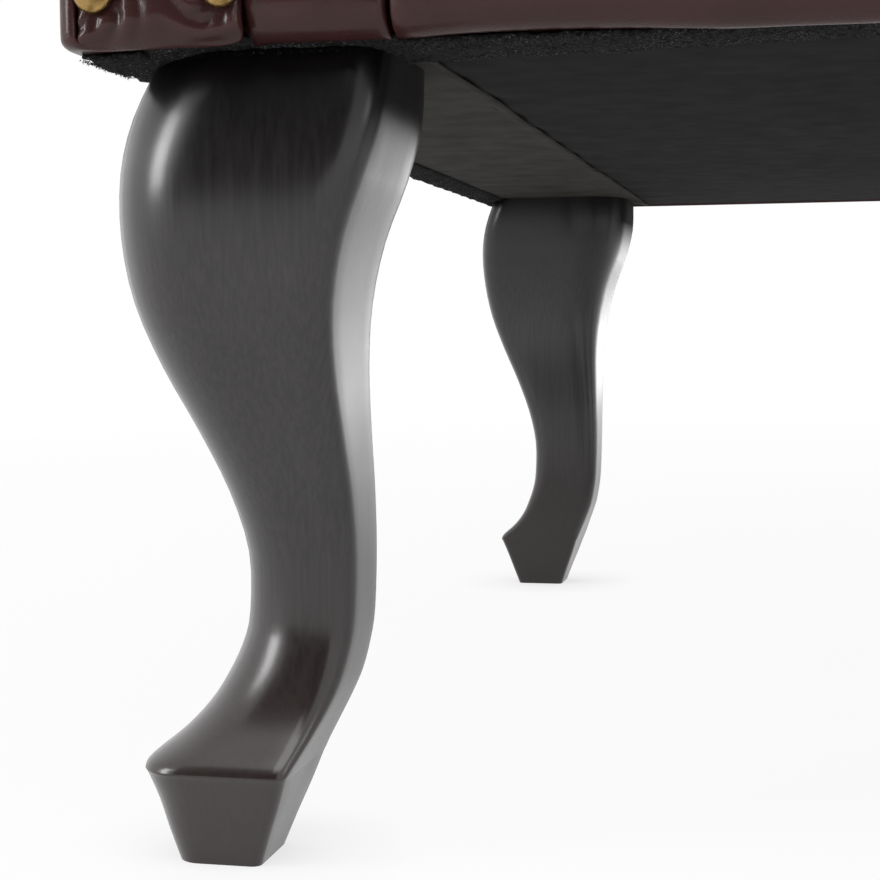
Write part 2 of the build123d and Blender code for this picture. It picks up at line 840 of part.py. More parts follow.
def cushion_form(inset):
    """The filled cushion: a low crown below, upright boxing and a high crown on top."""
    above = cushion_crown - inset
    below = cushion_base_crown - inset
    crown = [cushion_outline(inset, share, high_seam + up * above) for share, up in crown_shares]
    base = [cushion_outline(inset, share, low_seam - down * below) for share, down in base_crown_shares]
    boxing = [cushion_outline(inset, 0, low_seam), cushion_outline(inset, 0, high_seam)]
    faces = [[make_face(wire) for wire in wires] for wires in (crown, base, boxing)]
    crown_form, base_form, boxing_form = [loft(rows, ruled=True) for rows in faces]
    return crown_form + base_form + boxing_form


def cushion_welts():
    """The corded seams round the cushion's top and bottom."""
    rings = []
    for height in (low_seam, high_seam):
        path = cushion_outline(0, 0, height)
        start = Plane(origin=path.position_at(0), z_dir=path.tangent_at(0))
        section = start * RegularPolygon(welt_diameter / 2, welt_sides)
        rings.append(sweep(section, path=path))
    return rings


def cushion_zip():
    """The zip in the middle of the rear boxing."""
    middle = (low_seam + high_seam) / 2
    low = (-zip_length / 2, cushion_middle, middle - zip_width / 2)
    window = block(low, (zip_length / 2, cushion_rear + overrun, middle + zip_width / 2))
    return (cushion_form(0) - cushion_form(zip_thickness)) & window


# Brass nails


def nail():
    """One nail head, with its leather side at Z = 0."""
    taper = degrees(atan2((nail_diameter - nail_crown_diameter) / 2, nail_height))
    outline = RegularPolygon(nail_diameter / 2, nail_sides)
    return extrude(outline, nail_height, taper=taper)


def spaced(path):
    """Even places along a path, about a nail's pitch apart, with one at each end."""
    count = ceil(path.length / nail_pitch)
    return [path.position_at(step / count) for step in range(count + 1)]


def facing_nails():
    """The nails round the arm's facing, up its outer side, over the roll and down again."""
    low = leg_height + first_nail_height
    outer = left_x(facing_outer_inset + nail_inset)
    inner = left_x(facing_outer_inset + facing_stem_width - nail_inset)
    middle = left_x(roll_place)
    radius = facing_roll_radius - nail_inset
    outer_join = roll_height - sqrt(radius * radius - (middle - outer) ** 2)
    inner_join = roll_height - sqrt(radius * radius - (inner - middle) ** 2)
    up = Line((outer, low), (outer, outer_join))
    over = ThreePointArc((outer, outer_join), (middle, roll_height + radius), (inner, inner_join))
    down = Line((inner, inner_join), (inner, low))
    head = Rot(90, 0, 0) * nail()
    return Compound([Pos(place.X, 0, place.Y) * head for place in spaced(Wire([up, over, down]))])


def outside_wing_nails():
    """The nails along the wing's outer side, behind its rounded edge."""
    edge = wing_edge(0)
    inward = wing_edge_round + nail_inset
    head = Rot(0, -90, 0) * nail()
    top = rake_start_height + nail_diameter
    places = []
    count = ceil(edge.length / nail_pitch)
    for step in range(1, count):
        place, along = edge.position_at(step / count), edge.tangent_at(step / count)
        y, z = place.X - along.Y * inward, place.Y + along.X * inward
        nail_place = raked(Pos(left_x(0), y, z) * head)
        if nail_place.center().Z > arm_height + nail_diameter and z < back_top and top < back_top:
            places.append(nail_place)
    return Compound(places)


def outside_back_nails():
    """The nails up both sides of the outside back and across its crest."""
    side = half_width - nail_inset
    heads = []
    low = leg_height + first_nail_height
    head = Rot(-90, 0, 0) * nail()
    upright = ceil((rake_start_height - low) / nail_pitch)
    for step in range(upright):
        height = low + (rake_start_height - low) * step / upright
        heads.append(Pos(-side, seat_box_depth, height) * head)
    top = wing_top - nail_inset
    count = ceil((top - nail_inset) / nail_pitch)
    for step in range(count):
        heads.append(raked(Pos(-side, 0, nail_inset + (top - nail_inset) * step / count) * head))
    heads += [right_of(one) for one in heads]
    crown = Wire(
        [
            Line((-side, top), (-half_seat, top)),
            ThreePointArc((-half_seat, top), (0, back_top - nail_inset), (half_seat, top)),
            Line((half_seat, top), (side, top)),
        ]
    )
    heads += [raked(Pos(place.X, 0, place.Y) * head) for place in spaced(crown)]
    return Compound(heads)


# The chair, node by node


def without(shape, *others):
    """The shape less what other pieces fill."""
    for other in others:
        shape = shape - other
    return shape


def left_pieces():
    """All that the chair has on both sides as pieces of their own, as they are on its left."""
    foam = without(arm_foam(), facing_board(), arm_post(), arm_rail(), arm_inner_panel(), back_post())
    return {
        "arm_foam": without(foam, wing_frame(), raked_rails()),
        "facing_cover": facing_cover(),
        "outside_arm_cover": outside_arm_cover(),
        "inside_arm_cover": without(inside_arm_cover(), wing_frame(), back_post(), raked_rails()),
        "wing_frame": wing_frame(),
        "wing_foam": wing_foam(),
        "outside_wing_cover": outside_wing_cover(),
        "inside_wing_cover": inside_wing_cover(),
    }


def left_sets():
    """The like pieces that share a node with their right-hand twins, as they are on the chair's left."""
    return {
        "arm_linings": arm_lining(),
        "arm_posts": arm_post(),
        "back_posts": back_post(),
        "side_rails": side_rail(),
        "arm_rails": arm_rail(),
        "arm_tack_rails": arm_tack_rail(),
        "arm_inner_panels": arm_inner_panel(),
        "arm_front_pads": arm_front_pad(),
        "facing_boards": facing_board(),
        "facing_nails": facing_nails(),
        "wing_nails": outside_wing_nails(),
    }


def raked_rails():
    """The rails between the back posts that pass behind the arms' padding."""
    return back_rail() + crest_rail()


def middle_pieces():
    """All that the chair has once, or in a set."""
    pieces = {
        "front_rail": front_rail(),
        "rear_rail": rear_rail(),
        "corner_blocks": four_corners(corner_block()),
        "leg_plates": four_corners(leg_plate()),
        "hanger_bolts": four_corners(hanger_bolt()),
        "bolt_nuts": four_corners(bolt_nut()),
        "leg_glides": four_corners(leg_glide()),
        "front_hem": front_hem(),
        "dust_cover": dust_cover(),
        "front_border_pad": front_border_pad(),
        "front_border_cover": front_border_cover(),
        "seat_straps": seat_straps(),
        "seat_burlap": seat_burlap(),
        "deck_pad": deck_pad(),
        "deck_cover": deck_cover(),
        "back_rail": back_rail(),
        "crest_rail": crest_rail(),
        "back_straps": back_straps(),
        "back_foam": back_foam_block(),
        "inside_back_cover": inside_back_cover(),
        "back_buttons": back_buttons(),
        "outside_back_cover": outside_back_cover(),
        "outside_back_nails": outside_back_nails(),
    }
    for side, across in (("left", -1), ("right", 1)):
        for place, along in (("front", -1), ("rear", 1)):
            pieces[f"leg_{place}_{side}"] = corner(cabriole_leg(), across, along)
    welts = cushion_welts()
    pieces["cushion_cover"] = without(cushion_form(0), cushion_form(leather), cushion_zip(), *welts)
    pieces["cushion_foam"] = without(cushion_form(leather), *welts)
    pieces["cushion_welts"] = Compound(welts)
    pieces["cushion_zip"] = cushion_zip()
    return pieces


def whole_chair():
    """Every node of the chair by its name."""
    pieces = middle_pieces()
    for name, piece in left_pieces().items():
        pieces[f"{name}_left"] = piece
        pieces[f"{name}_right"] = right_of(piece)
    for name, piece in left_sets().items():
        pieces[name] = Compound(piece.solids() + right_of(piece).solids())
    return pieces


chair = whole_chair()
outline_box = Compound([solid for piece in chair.values() for solid in piece.solids()]).bounding_box()
to_middle = Pos(0, -(outline_box.min.Y + outline_box.max.Y) / 2, 0)
os.makedirs("parts", exist_ok=True)
for node, piece in chair.items():
    export_step(to_middle * piece, f"parts/{node}.step")
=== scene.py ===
import math

import bmesh
import bpy
from mathutils import Matrix, Vector, noise


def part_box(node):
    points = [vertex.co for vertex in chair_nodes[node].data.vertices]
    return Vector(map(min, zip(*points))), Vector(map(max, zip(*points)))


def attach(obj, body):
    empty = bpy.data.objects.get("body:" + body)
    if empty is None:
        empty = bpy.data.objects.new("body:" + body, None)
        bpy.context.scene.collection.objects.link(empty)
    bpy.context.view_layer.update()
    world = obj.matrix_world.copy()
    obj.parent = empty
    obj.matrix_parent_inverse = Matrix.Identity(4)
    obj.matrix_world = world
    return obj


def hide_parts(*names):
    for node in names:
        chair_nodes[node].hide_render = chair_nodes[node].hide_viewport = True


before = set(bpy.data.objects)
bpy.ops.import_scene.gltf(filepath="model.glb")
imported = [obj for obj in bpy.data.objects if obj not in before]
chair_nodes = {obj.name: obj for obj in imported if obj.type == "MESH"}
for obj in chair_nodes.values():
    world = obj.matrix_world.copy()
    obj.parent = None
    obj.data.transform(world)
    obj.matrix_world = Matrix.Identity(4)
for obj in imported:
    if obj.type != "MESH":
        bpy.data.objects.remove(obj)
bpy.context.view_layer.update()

# Nails and fibres lean by noise vectors, which start from a fixed seed to be alike each run.
noise_seed = 7
noise.seed_set(noise_seed)


# Where the chair stands: a white studio floor that runs away into white, with
# big soft lamps overhead and beside it. The camera crouches in front of the
# left leg and looks along the chair's side.

camera_place = Vector((-0.1450, -0.7709, 0.1357))
camera_yaw, camera_pitch, camera_roll = (math.radians(turn) for turn in (12.52, 3.48, -0.41))
picture_width, focal_pixels, sensor_width = 880, 1765, 36.0

forward = Vector((
    -math.sin(camera_yaw) * math.cos(camera_pitch),
    math.cos(camera_yaw) * math.cos(camera_pitch),
    -math.sin(camera_pitch),
))
level_right = Vector((math.cos(camera_yaw), math.sin(camera_yaw), 0))
level_up = level_right.cross(forward)
right = math.cos(camera_roll) * level_right + math.sin(camera_roll) * level_up
up = math.cos(camera_roll) * level_up - math.sin(camera_roll) * level_right

camera = bpy.data.objects.new("camera", bpy.data.cameras.new("camera"))
camera.data.sensor_width = sensor_width
camera.data.lens = focal_pixels * sensor_width / picture_width
camera.data.clip_start = 0.02
camera.matrix_world = Matrix.Translation(camera_place) @ Matrix((right, up, -forward)).transposed().to_4x4()
bpy.context.scene.collection.objects.link(camera)
bpy.context.scene.camera = camera
bpy.context.scene.view_settings.view_transform = "Standard"


def place(tree, kind, inputs=None, **settings):
    """Put a node in a tree, set it, and join its inputs to other nodes."""
    node = tree.nodes.new(kind)
    for key, value in settings.items():
        setattr(node, key, value)
    for key, value in (inputs or {}).items():
        if isinstance(value, bpy.types.NodeSocket):
            tree.links.new(value, node.inputs[key])
        else:
            node.inputs[key].default_value = value
    return node


def bare_material(name):
    """A new material with only its output node, and its node tree."""
    material = bpy.data.materials.new(name)
    material.use_nodes = True
    tree = material.node_tree
    tree.nodes.clear()
    return material, tree, tree.nodes.new("ShaderNodeOutputMaterial")


def sums(tree, how, first, second, clamp=False):
    """A sum on two values, each a number or another node's output."""
    node = place(tree, "ShaderNodeMath", {0: first, 1: second}, operation=how, use_clamp=clamp)
    return node.outputs[0]


def ramp(tree, value, stops, blend="LINEAR"):
    """A colour ramp: stops are places from 0 to 1 with a grey or a colour each."""
    node = place(tree, "ShaderNodeValToRGB", {"Fac": value})
    node.color_ramp.interpolation = blend
    while len(node.color_ramp.elements) < len(stops):
        node.color_ramp.elements.new(0.5)
    for element, (at, shade) in zip(node.color_ramp.elements, stops):
        element.position = at
        element.color = (*shade, 1) if isinstance(shade, tuple) else (shade, shade, shade, 1)
    return node.outputs["Color"]


def blended(tree, share, first, second, how="MIX"):
    """Two colours mixed by a share; each is a colour or another node's output."""
    pair = [one if isinstance(one, bpy.types.NodeSocket) else (*one, 1) for one in (first, second)]
    inputs = {0: share, 6: pair[0], 7: pair[1]}
    return place(tree, "ShaderNodeMix", inputs, data_type="RGBA", blend_type=how).outputs[2]


floor_colour, floor_size = (0.95, 0.95, 0.945), 30.0
shadow_reach, shadow_end, near_white, near_gloss = 0.35, 2.6, 0.93, 0.45
corner_reach, corner_shade = 0.035, 0.30

floor_material, tree, output = bare_material("studio_floor")
spot = place(tree, "ShaderNodeNewGeometry").outputs["Position"]
away = place(tree, "ShaderNodeVectorMath", {0: spot}, operation="LENGTH").outputs["Value"]
far = place(tree, "ShaderNodeMapRange", {0: away, 1: shadow_reach, 2: shadow_end}, interpolation_type="SMOOTHERSTEP")
paint = place(tree, "ShaderNodeBsdfDiffuse", {"Color": (*floor_colour, 1)}).outputs[0]
white = place(tree, "ShaderNodeEmission", {"Strength": 1.0}).outputs[0]
rays = place(tree, "ShaderNodeLightPath").outputs
whiter = place(tree, "ShaderNodeMapRange", {0: far.outputs[0], 3: near_white, 4: 1.0}).outputs[0]
corners = place(tree, "ShaderNodeAmbientOcclusion", {"Distance": corner_reach}, samples=8).outputs["AO"]
darker = sums(tree, "MULTIPLY", sums(tree, "SUBTRACT", 1.0, corners), corner_shade)
whiter = sums(tree, "SUBTRACT", whiter, darker)
glossier = place(tree, "ShaderNodeMapRange", {0: far.outputs[0], 3: near_gloss, 4: 1.0}).outputs[0]
in_picture = sums(tree, "MULTIPLY", rays["Is Camera Ray"], whiter)
in_gloss = sums(tree, "MULTIPLY", rays["Is Glossy Ray"], glossier)
share = sums(tree, "MAXIMUM", in_picture, in_gloss)
mixed = place(tree, "ShaderNodeMixShader", {0: share, 1: paint, 2: white}).outputs[0]
tree.links.new(mixed, output.inputs["Surface"])

floor_mesh = bpy.data.meshes.new("studio_floor")
edge = floor_size / 2
floor_mesh.from_pydata([(-edge, -edge, 0), (edge, -edge, 0), (edge, edge, 0), (-edge, edge, 0)], [], [(0, 1, 2, 3)])
floor_mesh.materials.append(floor_material)
floor = bpy.data.objects.new("studio_floor", floor_mesh)
bpy.context.scene.collection.objects.link(floor)

world = bpy.data.worlds.new("studio")
world.use_nodes = True
world.cycles.sampling_method = "NONE"
bpy.context.scene.world = world
tree = world.node_tree
tree.nodes.clear()
rays = place(tree, "ShaderNodeLightPath").outputs
seen = sums(tree, "MAXIMUM", rays["Is Camera Ray"], rays["Is Glossy Ray"])
seen = sums(tree, "MAXIMUM", seen, rays["Is Transmission Ray"])
strength = place(tree, "ShaderNodeMapRange", {0: seen, 3: 0.42, 4: 1.0}).outputs[0]
sky = place(tree, "ShaderNodeBackground", {"Color": (1, 1, 1, 1), "Strength": strength}).outputs[0]
tree.links.new(sky, place(tree, "ShaderNodeOutputWorld").inputs["Surface"])


def soft_lamp(name, at, towards, width, height, watts, colour=(1, 1, 1)):
    """A big square lamp behind a diffuser, turned towards a point of the chair."""
    data = bpy.data.lights.new(name, "AREA")
    data.shape = "RECTANGLE"
    data.size, data.size_y, data.energy, data.color = width, height, watts, colour
    lamp = bpy.data.objects.new(name, data)
    lamp.location = at
    lamp.visible_camera = False
    lamp.rotation_euler = (Vector(towards) - Vector(at)).to_track_quat("-Z", "Y").to_euler()
    bpy.context.scene.collection.objects.link(lamp)


soft_lamp("lamp_over", (0.3, -1.2, 3.0), (0, 0, 0.4), 2.4, 2.0, 42)
soft_lamp("lamp_left", (-2.4, -1.46, 1.12), (-0.3, -0.36, 0.18), 0.70, 1.25, 27)
soft_lamp("lamp_right", (2.6, -0.6, 1.4), (0, 0, 0.4), 1.4, 1.8, 16)
soft_lamp("lamp_behind", (0.95, 2.9, 0.28), (-0.25, -0.1, 0.12), 2.2, 0.5, 6)


# A black cloth hung in front of the chair, which only its gloss shows: it keeps the
# varnish and the hides deep in tone, as in the picture, and throws no shadow.

flag, tree, output = bare_material("black_flag")
black = place(tree, "ShaderNodeEmission", {"Color": (0, 0, 0, 1), "Strength": 0.0}).outputs[0]
tree.links.new(black, output.inputs["Surface"])
flag_mesh = bpy.data.meshes.new("black_flag")
flag_left, flag_right, flag_low, flag_high = (-3.4, -3.6), (1.6, -4.2), 0.35, 7.0
flag_corners = [(*flag_left, flag_low), (*flag_right, flag_low), (*flag_right, flag_high), (*flag_left, flag_high)]
flag_mesh.from_pydata(flag_corners, [], [(0, 1, 2, 3)])
flag_mesh.materials.append(flag)
black_flag = bpy.data.objects.new("black_flag", flag_mesh)
black_flag.visible_camera = black_flag.visible_diffuse = black_flag.visible_shadow = False
black_flag.visible_transmission = False
bpy.context.scene.collection.objects.link(black_flag)


# The four short cabriole legs, each bandsawn from one square block of beech and
# rounded by hand, with the toe and the knee at the chair's corner. They are
# stained nearly black and rubbed to a satin varnish through which the grain shows.

leg_corner_x, leg_front_y, leg_rear_y = -0.3255, -0.3649, 0.2052

# Height, outer side, inner side, radius at the knee's corner, radius at the inner corner, in
# millimetres from the outer faces of the block. The last radius is that of the two side corners.
leg_rows = [
    (0.0, 15.8, 38.9, 6.5, 2.5, 2.5),
    (8.2, 13.2, 41.9, 8.5, 2.6, 2.6),
    (16.4, 10.7, 45.1, 11.0, 2.8, 2.8),
    (23.4, 8.2, 47.6, 12.5, 3.0, 3.0),
    (25.0, 7.6, 48.3, 12.8, 3.2, 3.2),
    (27.6, 9.1, 49.5, 13.0, 4.5, 4.5),
    (33.0, 15.2, 52.0, 14.5, 5.0, 5.0),
    (39.0, 20.0, 54.7, 16.5, 5.4, 5.6),
    (45.1, 23.1, 57.0, 18.5, 5.6, 6.2),
    (53.0, 26.0, 58.8, 20.0, 5.8, 6.6),
    (61.5, 27.5, 59.9, 20.5, 6.0, 7.0),
    (77.9, 27.6, 60.5, 19.5, 6.8, 7.4),
    (94.3, 24.0, 60.4, 18.5, 7.6, 7.6),
    (110.7, 17.9, 59.9, 18.5, 8.6, 7.6),
    (127.1, 10.7, 59.8, 20.0, 10.0, 7.8),
    (143.5, 4.7, 61.2, 23.0, 13.0, 8.2),
    (159.9, 1.6, 64.9, 26.0, 17.0, 8.6),
    (176.3, 1.3, 70.9, 27.5, 22.0, 9.0),
    (190.7, 3.8, 74.7, 28.2, 26.0, 9.2),
    (205.0, 8.9, 75.6, 28.5, 28.0, 9.4),
]
rows_between, corner_steps, side_steps = 3, 7, 5


def smooth_row(rows, at):
    """A row of numbers between two rows of a table, on a smooth curve through them all."""
    step = min(int(at), len(rows) - 2)
    part = at - step
    before, first = rows[max(step - 1, 0)], rows[step]
    second, after = rows[step + 1], rows[min(step + 2, len(rows) - 1)]
    numbers = []
    for a, b, c, d in zip(before, first, second, after):
        bend = (2 * a - 5 * b + 4 * c - d) * part ** 2 + (3 * b - a - 3 * c + d) * part ** 3
        numbers.append(b + ((c - a) * part + bend) / 2)
    return numbers


def leg_ring(height, outer, inner, knee, back, side):
    """One section of the leg: a square with a large radius at the knee's corner."""
    corners = [(outer, outer, knee, 180), (inner, outer, side, 270), (inner, inner, back, 0), (outer, inner, side, 90)]
    ring = []
    for x, y, radius, start in corners:
        centre_x = x + radius if x == outer else x - radius
        centre_y = y + radius if y == outer else y - radius
        arc = []
        for step in range(corner_steps + 1):
            turn = math.radians(start + 90 * step / corner_steps)
            arc.append((centre_x + radius * math.cos(turn), centre_y + radius * math.sin(turn), height))
        ring.append(arc)
    points = []
    for step, arc in enumerate(ring):
        points += arc
        following = ring[(step + 1) % 4][0]
        for part in range(1, side_steps):
            points.append(tuple(a + (b - a) * part / side_steps for a, b in zip(arc[-1], following)))
    return points


def mesh_piece(name, points, faces, material, smooth=True):
    """A new mesh object of this chair, with its material."""
    mesh = bpy.data.meshes.new(name)
    mesh.from_pydata(points, [], faces)
    mesh.materials.append(material)
    mesh.update()
    mesh.polygons.foreach_set("use_smooth", [smooth] * len(mesh.polygons))
    piece = bpy.data.objects.new(name, mesh)
    bpy.context.scene.collection.objects.link(piece)
    return piece


def band_faces(rings, around, closed=True):
    """Faces that join rings of the same number of points, one after another."""
    faces = []
    for ring in range(rings - 1):
        for step in range(around if closed else around - 1):
            following = (step + 1) % around
            low, high = ring * around, (ring + 1) * around
            faces.append((low + step, low + following, high + following, high + step))
    return faces


def grain_group():
    """Wood fibres that run up the leg: a shade, a roughness share and a height."""
    group = bpy.data.node_groups.new("wood_fibres", "ShaderNodeTree")
    for name, low in (("Along", 14.0), ("Across", 900.0)):
        socket = group.interface.new_socket(name, in_out="INPUT", socket_type="NodeSocketFloat")
        socket.default_value = low
    for name in ("Fibres", "Clouds"):
        group.interface.new_socket(name, in_out="OUTPUT", socket_type="NodeSocketFloat")
    inside = group.nodes.new("NodeGroupInput")
    outside = group.nodes.new("NodeGroupOutput")
    spot = place(group, "ShaderNodeTexCoord").outputs["Object"]
    size = place(group, "ShaderNodeCombineXYZ", {
        "X": inside.outputs["Across"], "Y": inside.outputs["Across"], "Z": inside.outputs["Along"],
    }).outputs[0]
    drawn = place(group, "ShaderNodeVectorMath", {0: spot, 1: size}, operation="MULTIPLY").outputs[0]
    fine = place(group, "ShaderNodeTexNoise", {"Vector": drawn, "Scale": 1.0, "Detail": 5.0, "Roughness": 0.65})
    clouds = place(group, "ShaderNodeTexNoise", {"Vector": spot, "Scale": 26.0, "Detail": 3.0})
    group.links.new(fine.outputs[0], outside.inputs["Fibres"])
    group.links.new(clouds.outputs[0], outside.inputs["Clouds"])
    return group


wood_fibres = grain_group()
stain_dark, stain_light = (0.0150, 0.0134, 0.0134), (0.0310, 0.0265, 0.0262)
stain_worn = (0.054, 0.032, 0.028)
# Painted shade: the top of each leg, under the seat's edge, is painted nearly black for the shadow and dark reflections
# there.
painted_top_shade, top_shade_from, top_shade_to = (0.0028, 0.0024, 0.0024), 0.150, 0.198
stain_foot = (0.030, 0.0185, 0.0180)
dry_from, dry_to = 0.174, 0.193

leg_stain, tree, output = bare_material("black_stained_beech")
fibres = place(tree, "ShaderNodeGroup", node_tree=wood_fibres)
streaks = ramp(tree, fibres.outputs["Fibres"], [(0.35, 0.0), (0.68, 1.0)])
colour = blended(tree, streaks, stain_dark, stain_light)
edges = ramp(tree, place(tree, "ShaderNodeNewGeometry").outputs["Pointiness"], [(0.515, 0.0), (0.60, 1.0)])
patchy = ramp(tree, fibres.outputs["Clouds"], [(0.45, 0.0), (0.75, 0.55)])
worn = sums(tree, "MULTIPLY", edges, patchy)
colour = blended(tree, worn, colour, stain_worn)
height = place(tree, "ShaderNodeSeparateXYZ", {0: place(tree, "ShaderNodeTexCoord").outputs["Object"]}).outputs["Z"]
# Painted shade: the colour darkens towards the leg's top, where the seat's edge shades it.
top_shade = place(tree, "ShaderNodeMapRange", {0: height, 1: top_shade_from, 2: top_shade_to}).outputs[0]
colour = blended(tree, top_shade, colour, painted_top_shade)
foot = place(tree, "ShaderNodeMapRange", {0: height, 1: 0.080, 2: 0.035, 4: 0.65}).outputs[0]
colour = blended(tree, foot, colour, stain_foot)
bare_top = place(tree, "ShaderNodeMapRange", {0: height, 1: 0.180, 2: 0.204, 3: 1.0, 4: 0.1}).outputs[0]
rough = place(tree, "ShaderNodeMapRange", {0: fibres.outputs["Clouds"], 1: 0.3, 2: 0.7, 3: 0.27, 4: 0.36}).outputs[0]
rough = sums(tree, "ADD", rough, sums(tree, "MULTIPLY", streaks, 0.05))
faces_way = place(tree, "ShaderNodeNewGeometry").outputs["Normal"]
faces_way = place(tree, "ShaderNodeSeparateXYZ", {0: faces_way}).outputs["X"]
faces_way = sums(tree, "ABSOLUTE", faces_way, 0.0)
sideways = place(tree, "ShaderNodeMapRange", {0: faces_way, 1: 0.80, 2: 0.95}).outputs[0]
dry_top = place(tree, "ShaderNodeMapRange", {0: height, 1: dry_from, 2: dry_to}).outputs[0]
dry = sums(tree, "MULTIPLY", sideways, dry_top)
rough = sums(tree, "ADD", rough, sums(tree, "MULTIPLY", dry, 0.6), True)
coat = place(tree, "ShaderNodeMapRange", {0: fibres.outputs["Clouds"], 1: 0.3, 2: 0.7, 3: 1.0, 4: 0.85}).outputs[0]
coat = sums(tree, "MULTIPLY", coat, bare_top)
coat = sums(tree, "MULTIPLY", coat, sums(tree, "SUBTRACT", 1.0, dry, True))
relief = place(tree, "ShaderNodeBump", {"Strength": 0.10, "Distance": 0.0004, "Height": fibres.outputs["Fibres"]})
shader = place(tree, "ShaderNodeBsdfPrincipled", {
    "Base Color": colour, "Roughness": rough, "Normal": relief.outputs[0], "Coat Weight": coat, "Coat Roughness": 0.23,
    "Specular IOR Level": 0.2,
})
tree.links.new(shader.outputs[0], output.inputs["Surface"])

rows_in_all = (len(leg_rows) - 1) * rows_between + 1
for end, y_place, y_turn in (("front", leg_front_y, 1), ("rear", leg_rear_y, -1)):
    for side, x_turn in (("left", 1), ("right", -1)):
        points = []
        for step in range(rows_in_all):
            points += leg_ring(*smooth_row(leg_rows, step / rows_between))
        around = len(points) // rows_in_all
        faces = band_faces(rows_in_all, around)
        faces += [tuple(reversed(range(around))), tuple(range(len(points) - around, len(points)))]
        placed = []
        for x, y, z in points:
            placed.append((x_turn * (leg_corner_x + x / 1000), y_place + y_turn * y / 1000, z / 1000))
        if x_turn * y_turn < 0:
            faces = [tuple(reversed(face)) for face in faces]
        leg = mesh_piece(f"cabriole_leg_{end}_{side}", placed, faces, leg_stain)
        rim = 4 * rows_between
        for edge in leg.data.edges:
            low, high = (vertex // around for vertex in edge.vertices)
            edge.use_edge_sharp = (low == high and low in (rim, 0, rows_in_all - 1))
        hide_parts(f"leg_{end}_{side}")
        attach(leg, "chair")


# The leather of the arms' front facings: cowhide dyed oxblood and rubbed back so that the
# raised creases are paler. Each is pulled over a shaped board, turned under at the bottom,
# and held all round by close-set nails that pull small puckers into it.


def leather_group():
    """Dyed hide: fine pores, creases, and patches where the dye is thinner."""
    group = bpy.data.node_groups.new("dyed_hide", "ShaderNodeTree")
    for name, low in (("Pores", 1500.0), ("Creases", 46.0), ("Patches", 12.0)):
        socket = group.interface.new_socket(name, in_out="INPUT", socket_type="NodeSocketFloat")
        socket.default_value = low
    for name in ("Height", "Pale", "Patch"):
        group.interface.new_socket(name, in_out="OUTPUT", socket_type="NodeSocketFloat")
    sizes = group.nodes.new("NodeGroupInput").outputs
    results = group.nodes.new("NodeGroupOutput").inputs
    spot = place(group, "ShaderNodeTexCoord").outputs["Object"]
    drift = place(group, "ShaderNodeTexNoise", {"Vector": spot, "Scale": 60.0, "Detail": 2.0}).outputs["Color"]
    drift = place(group, "ShaderNodeVectorMath", {0: drift, 3: 0.006}, operation="SCALE").outputs[0]
    bent = place(group, "ShaderNodeVectorMath", {0: spot, 1: drift}, operation="ADD").outputs[0]
    pores = place(group, "ShaderNodeTexVoronoi", {"Vector": spot, "Scale": sizes["Pores"]}, feature="F1")
    pebble = ramp(group, pores.outputs["Distance"], [(0.05, 1.0), (0.62, 0.0)])
    lines = place(
        group, "ShaderNodeTexVoronoi", {"Vector": bent, "Scale": sizes["Creases"]}, feature="DISTANCE_TO_EDGE")
    furrow = ramp(group, lines.outputs["Distance"], [(0.0, 0.0), (0.10, 0.75), (0.32, 1.0)], "EASE")
    swell = place(group, "ShaderNodeTexNoise", {"Vector": bent, "Scale": sizes["Creases"], "Detail": 6.0})
    patch = place(group, "ShaderNodeTexNoise", {"Vector": spot, "Scale": sizes["Patches"], "Detail": 3.0})
    where = ramp(group, patch.outputs[0], [(0.42, 0.0), (0.66, 1.0)])
    folded = sums(group, "MULTIPLY", furrow, sums(group, "MULTIPLY", where, 0.35))
    height = sums(group, "ADD", sums(group, "MULTIPLY", pebble, 0.13), folded)
    height = sums(group, "ADD", height, sums(group, "MULTIPLY", swell.outputs[0], 0.55))
    pale = ramp(group, swell.outputs[0], [(0.46, 0.0), (0.70, 1.0)])
    group.links.new(height, results["Height"])
    group.links.new(pale, results["Pale"])
    group.links.new(patch.outputs[0], results["Patch"])
    return group


dyed_hide = leather_group()


def leather(name, deep, rubbed, roughness, relief, pores=1500.0, creases=46.0):
    """A leather finish: its dye in the hollows, its rubbed colour, and how shiny and creased it is."""
    material, tree, output = bare_material(name)
    hide = place(tree, "ShaderNodeGroup", {"Pores": pores, "Creases": creases}, node_tree=dyed_hide).outputs
    patches = ramp(tree, hide["Patch"], [(0.35, 0.0), (0.70, 1.0)])
    middle = tuple((a + b) / 2 for a, b in zip(deep, rubbed))
    colour = blended(tree, patches, deep, middle)
    raised = ramp(tree, place(tree, "ShaderNodeNewGeometry").outputs["Pointiness"], [(0.50, 0.0), (0.56, 1.0)])
    pale = sums(tree, "ADD", sums(tree, "MULTIPLY", hide["Pale"], 0.32), sums(tree, "MULTIPLY", raised, 0.5), True)
    colour = blended(tree, pale, colour, rubbed)
    rough = place(tree, "ShaderNodeMapRange", {0: hide["Height"], 1: 0.2, 2: 0.9, 3: roughness + 0.10, 4: roughness})
    bump = place(tree, "ShaderNodeBump", {"Strength": relief, "Distance": 0.0011, "Height": hide["Height"]})
    shader = place(tree, "ShaderNodeBsdfPrincipled", {
        "Base Color": colour, "Roughness": rough.outputs[0], "Normal": bump.outputs[0],
        "Coat Weight": 0.35, "Coat Roughness": 0.15, "Specular IOR Level": 0.15,
    })
    tree.links.new(shader.outputs[0], output.inputs["Surface"])
    return material


oxblood_deep, oxblood_rubbed = (0.0230, 0.0062, 0.0058), (0.072, 0.027, 0.026)
oxblood = leather("oxblood_hide", oxblood_deep, oxblood_rubbed, 0.34, 0.42)


def joined_nodes(name, nodes):
    """A new object with copies of the meshes of some CAD nodes."""
    shape = bmesh.new()
    for node in nodes:
        shape.from_mesh(chair_nodes[node].data)
    mesh = bpy.data.meshes.new(name)
    shape.to_mesh(mesh)
    shape.free()
    piece = bpy.data.objects.new(name, mesh)
    bpy.context.scene.collection.objects.link(piece)
    return piece


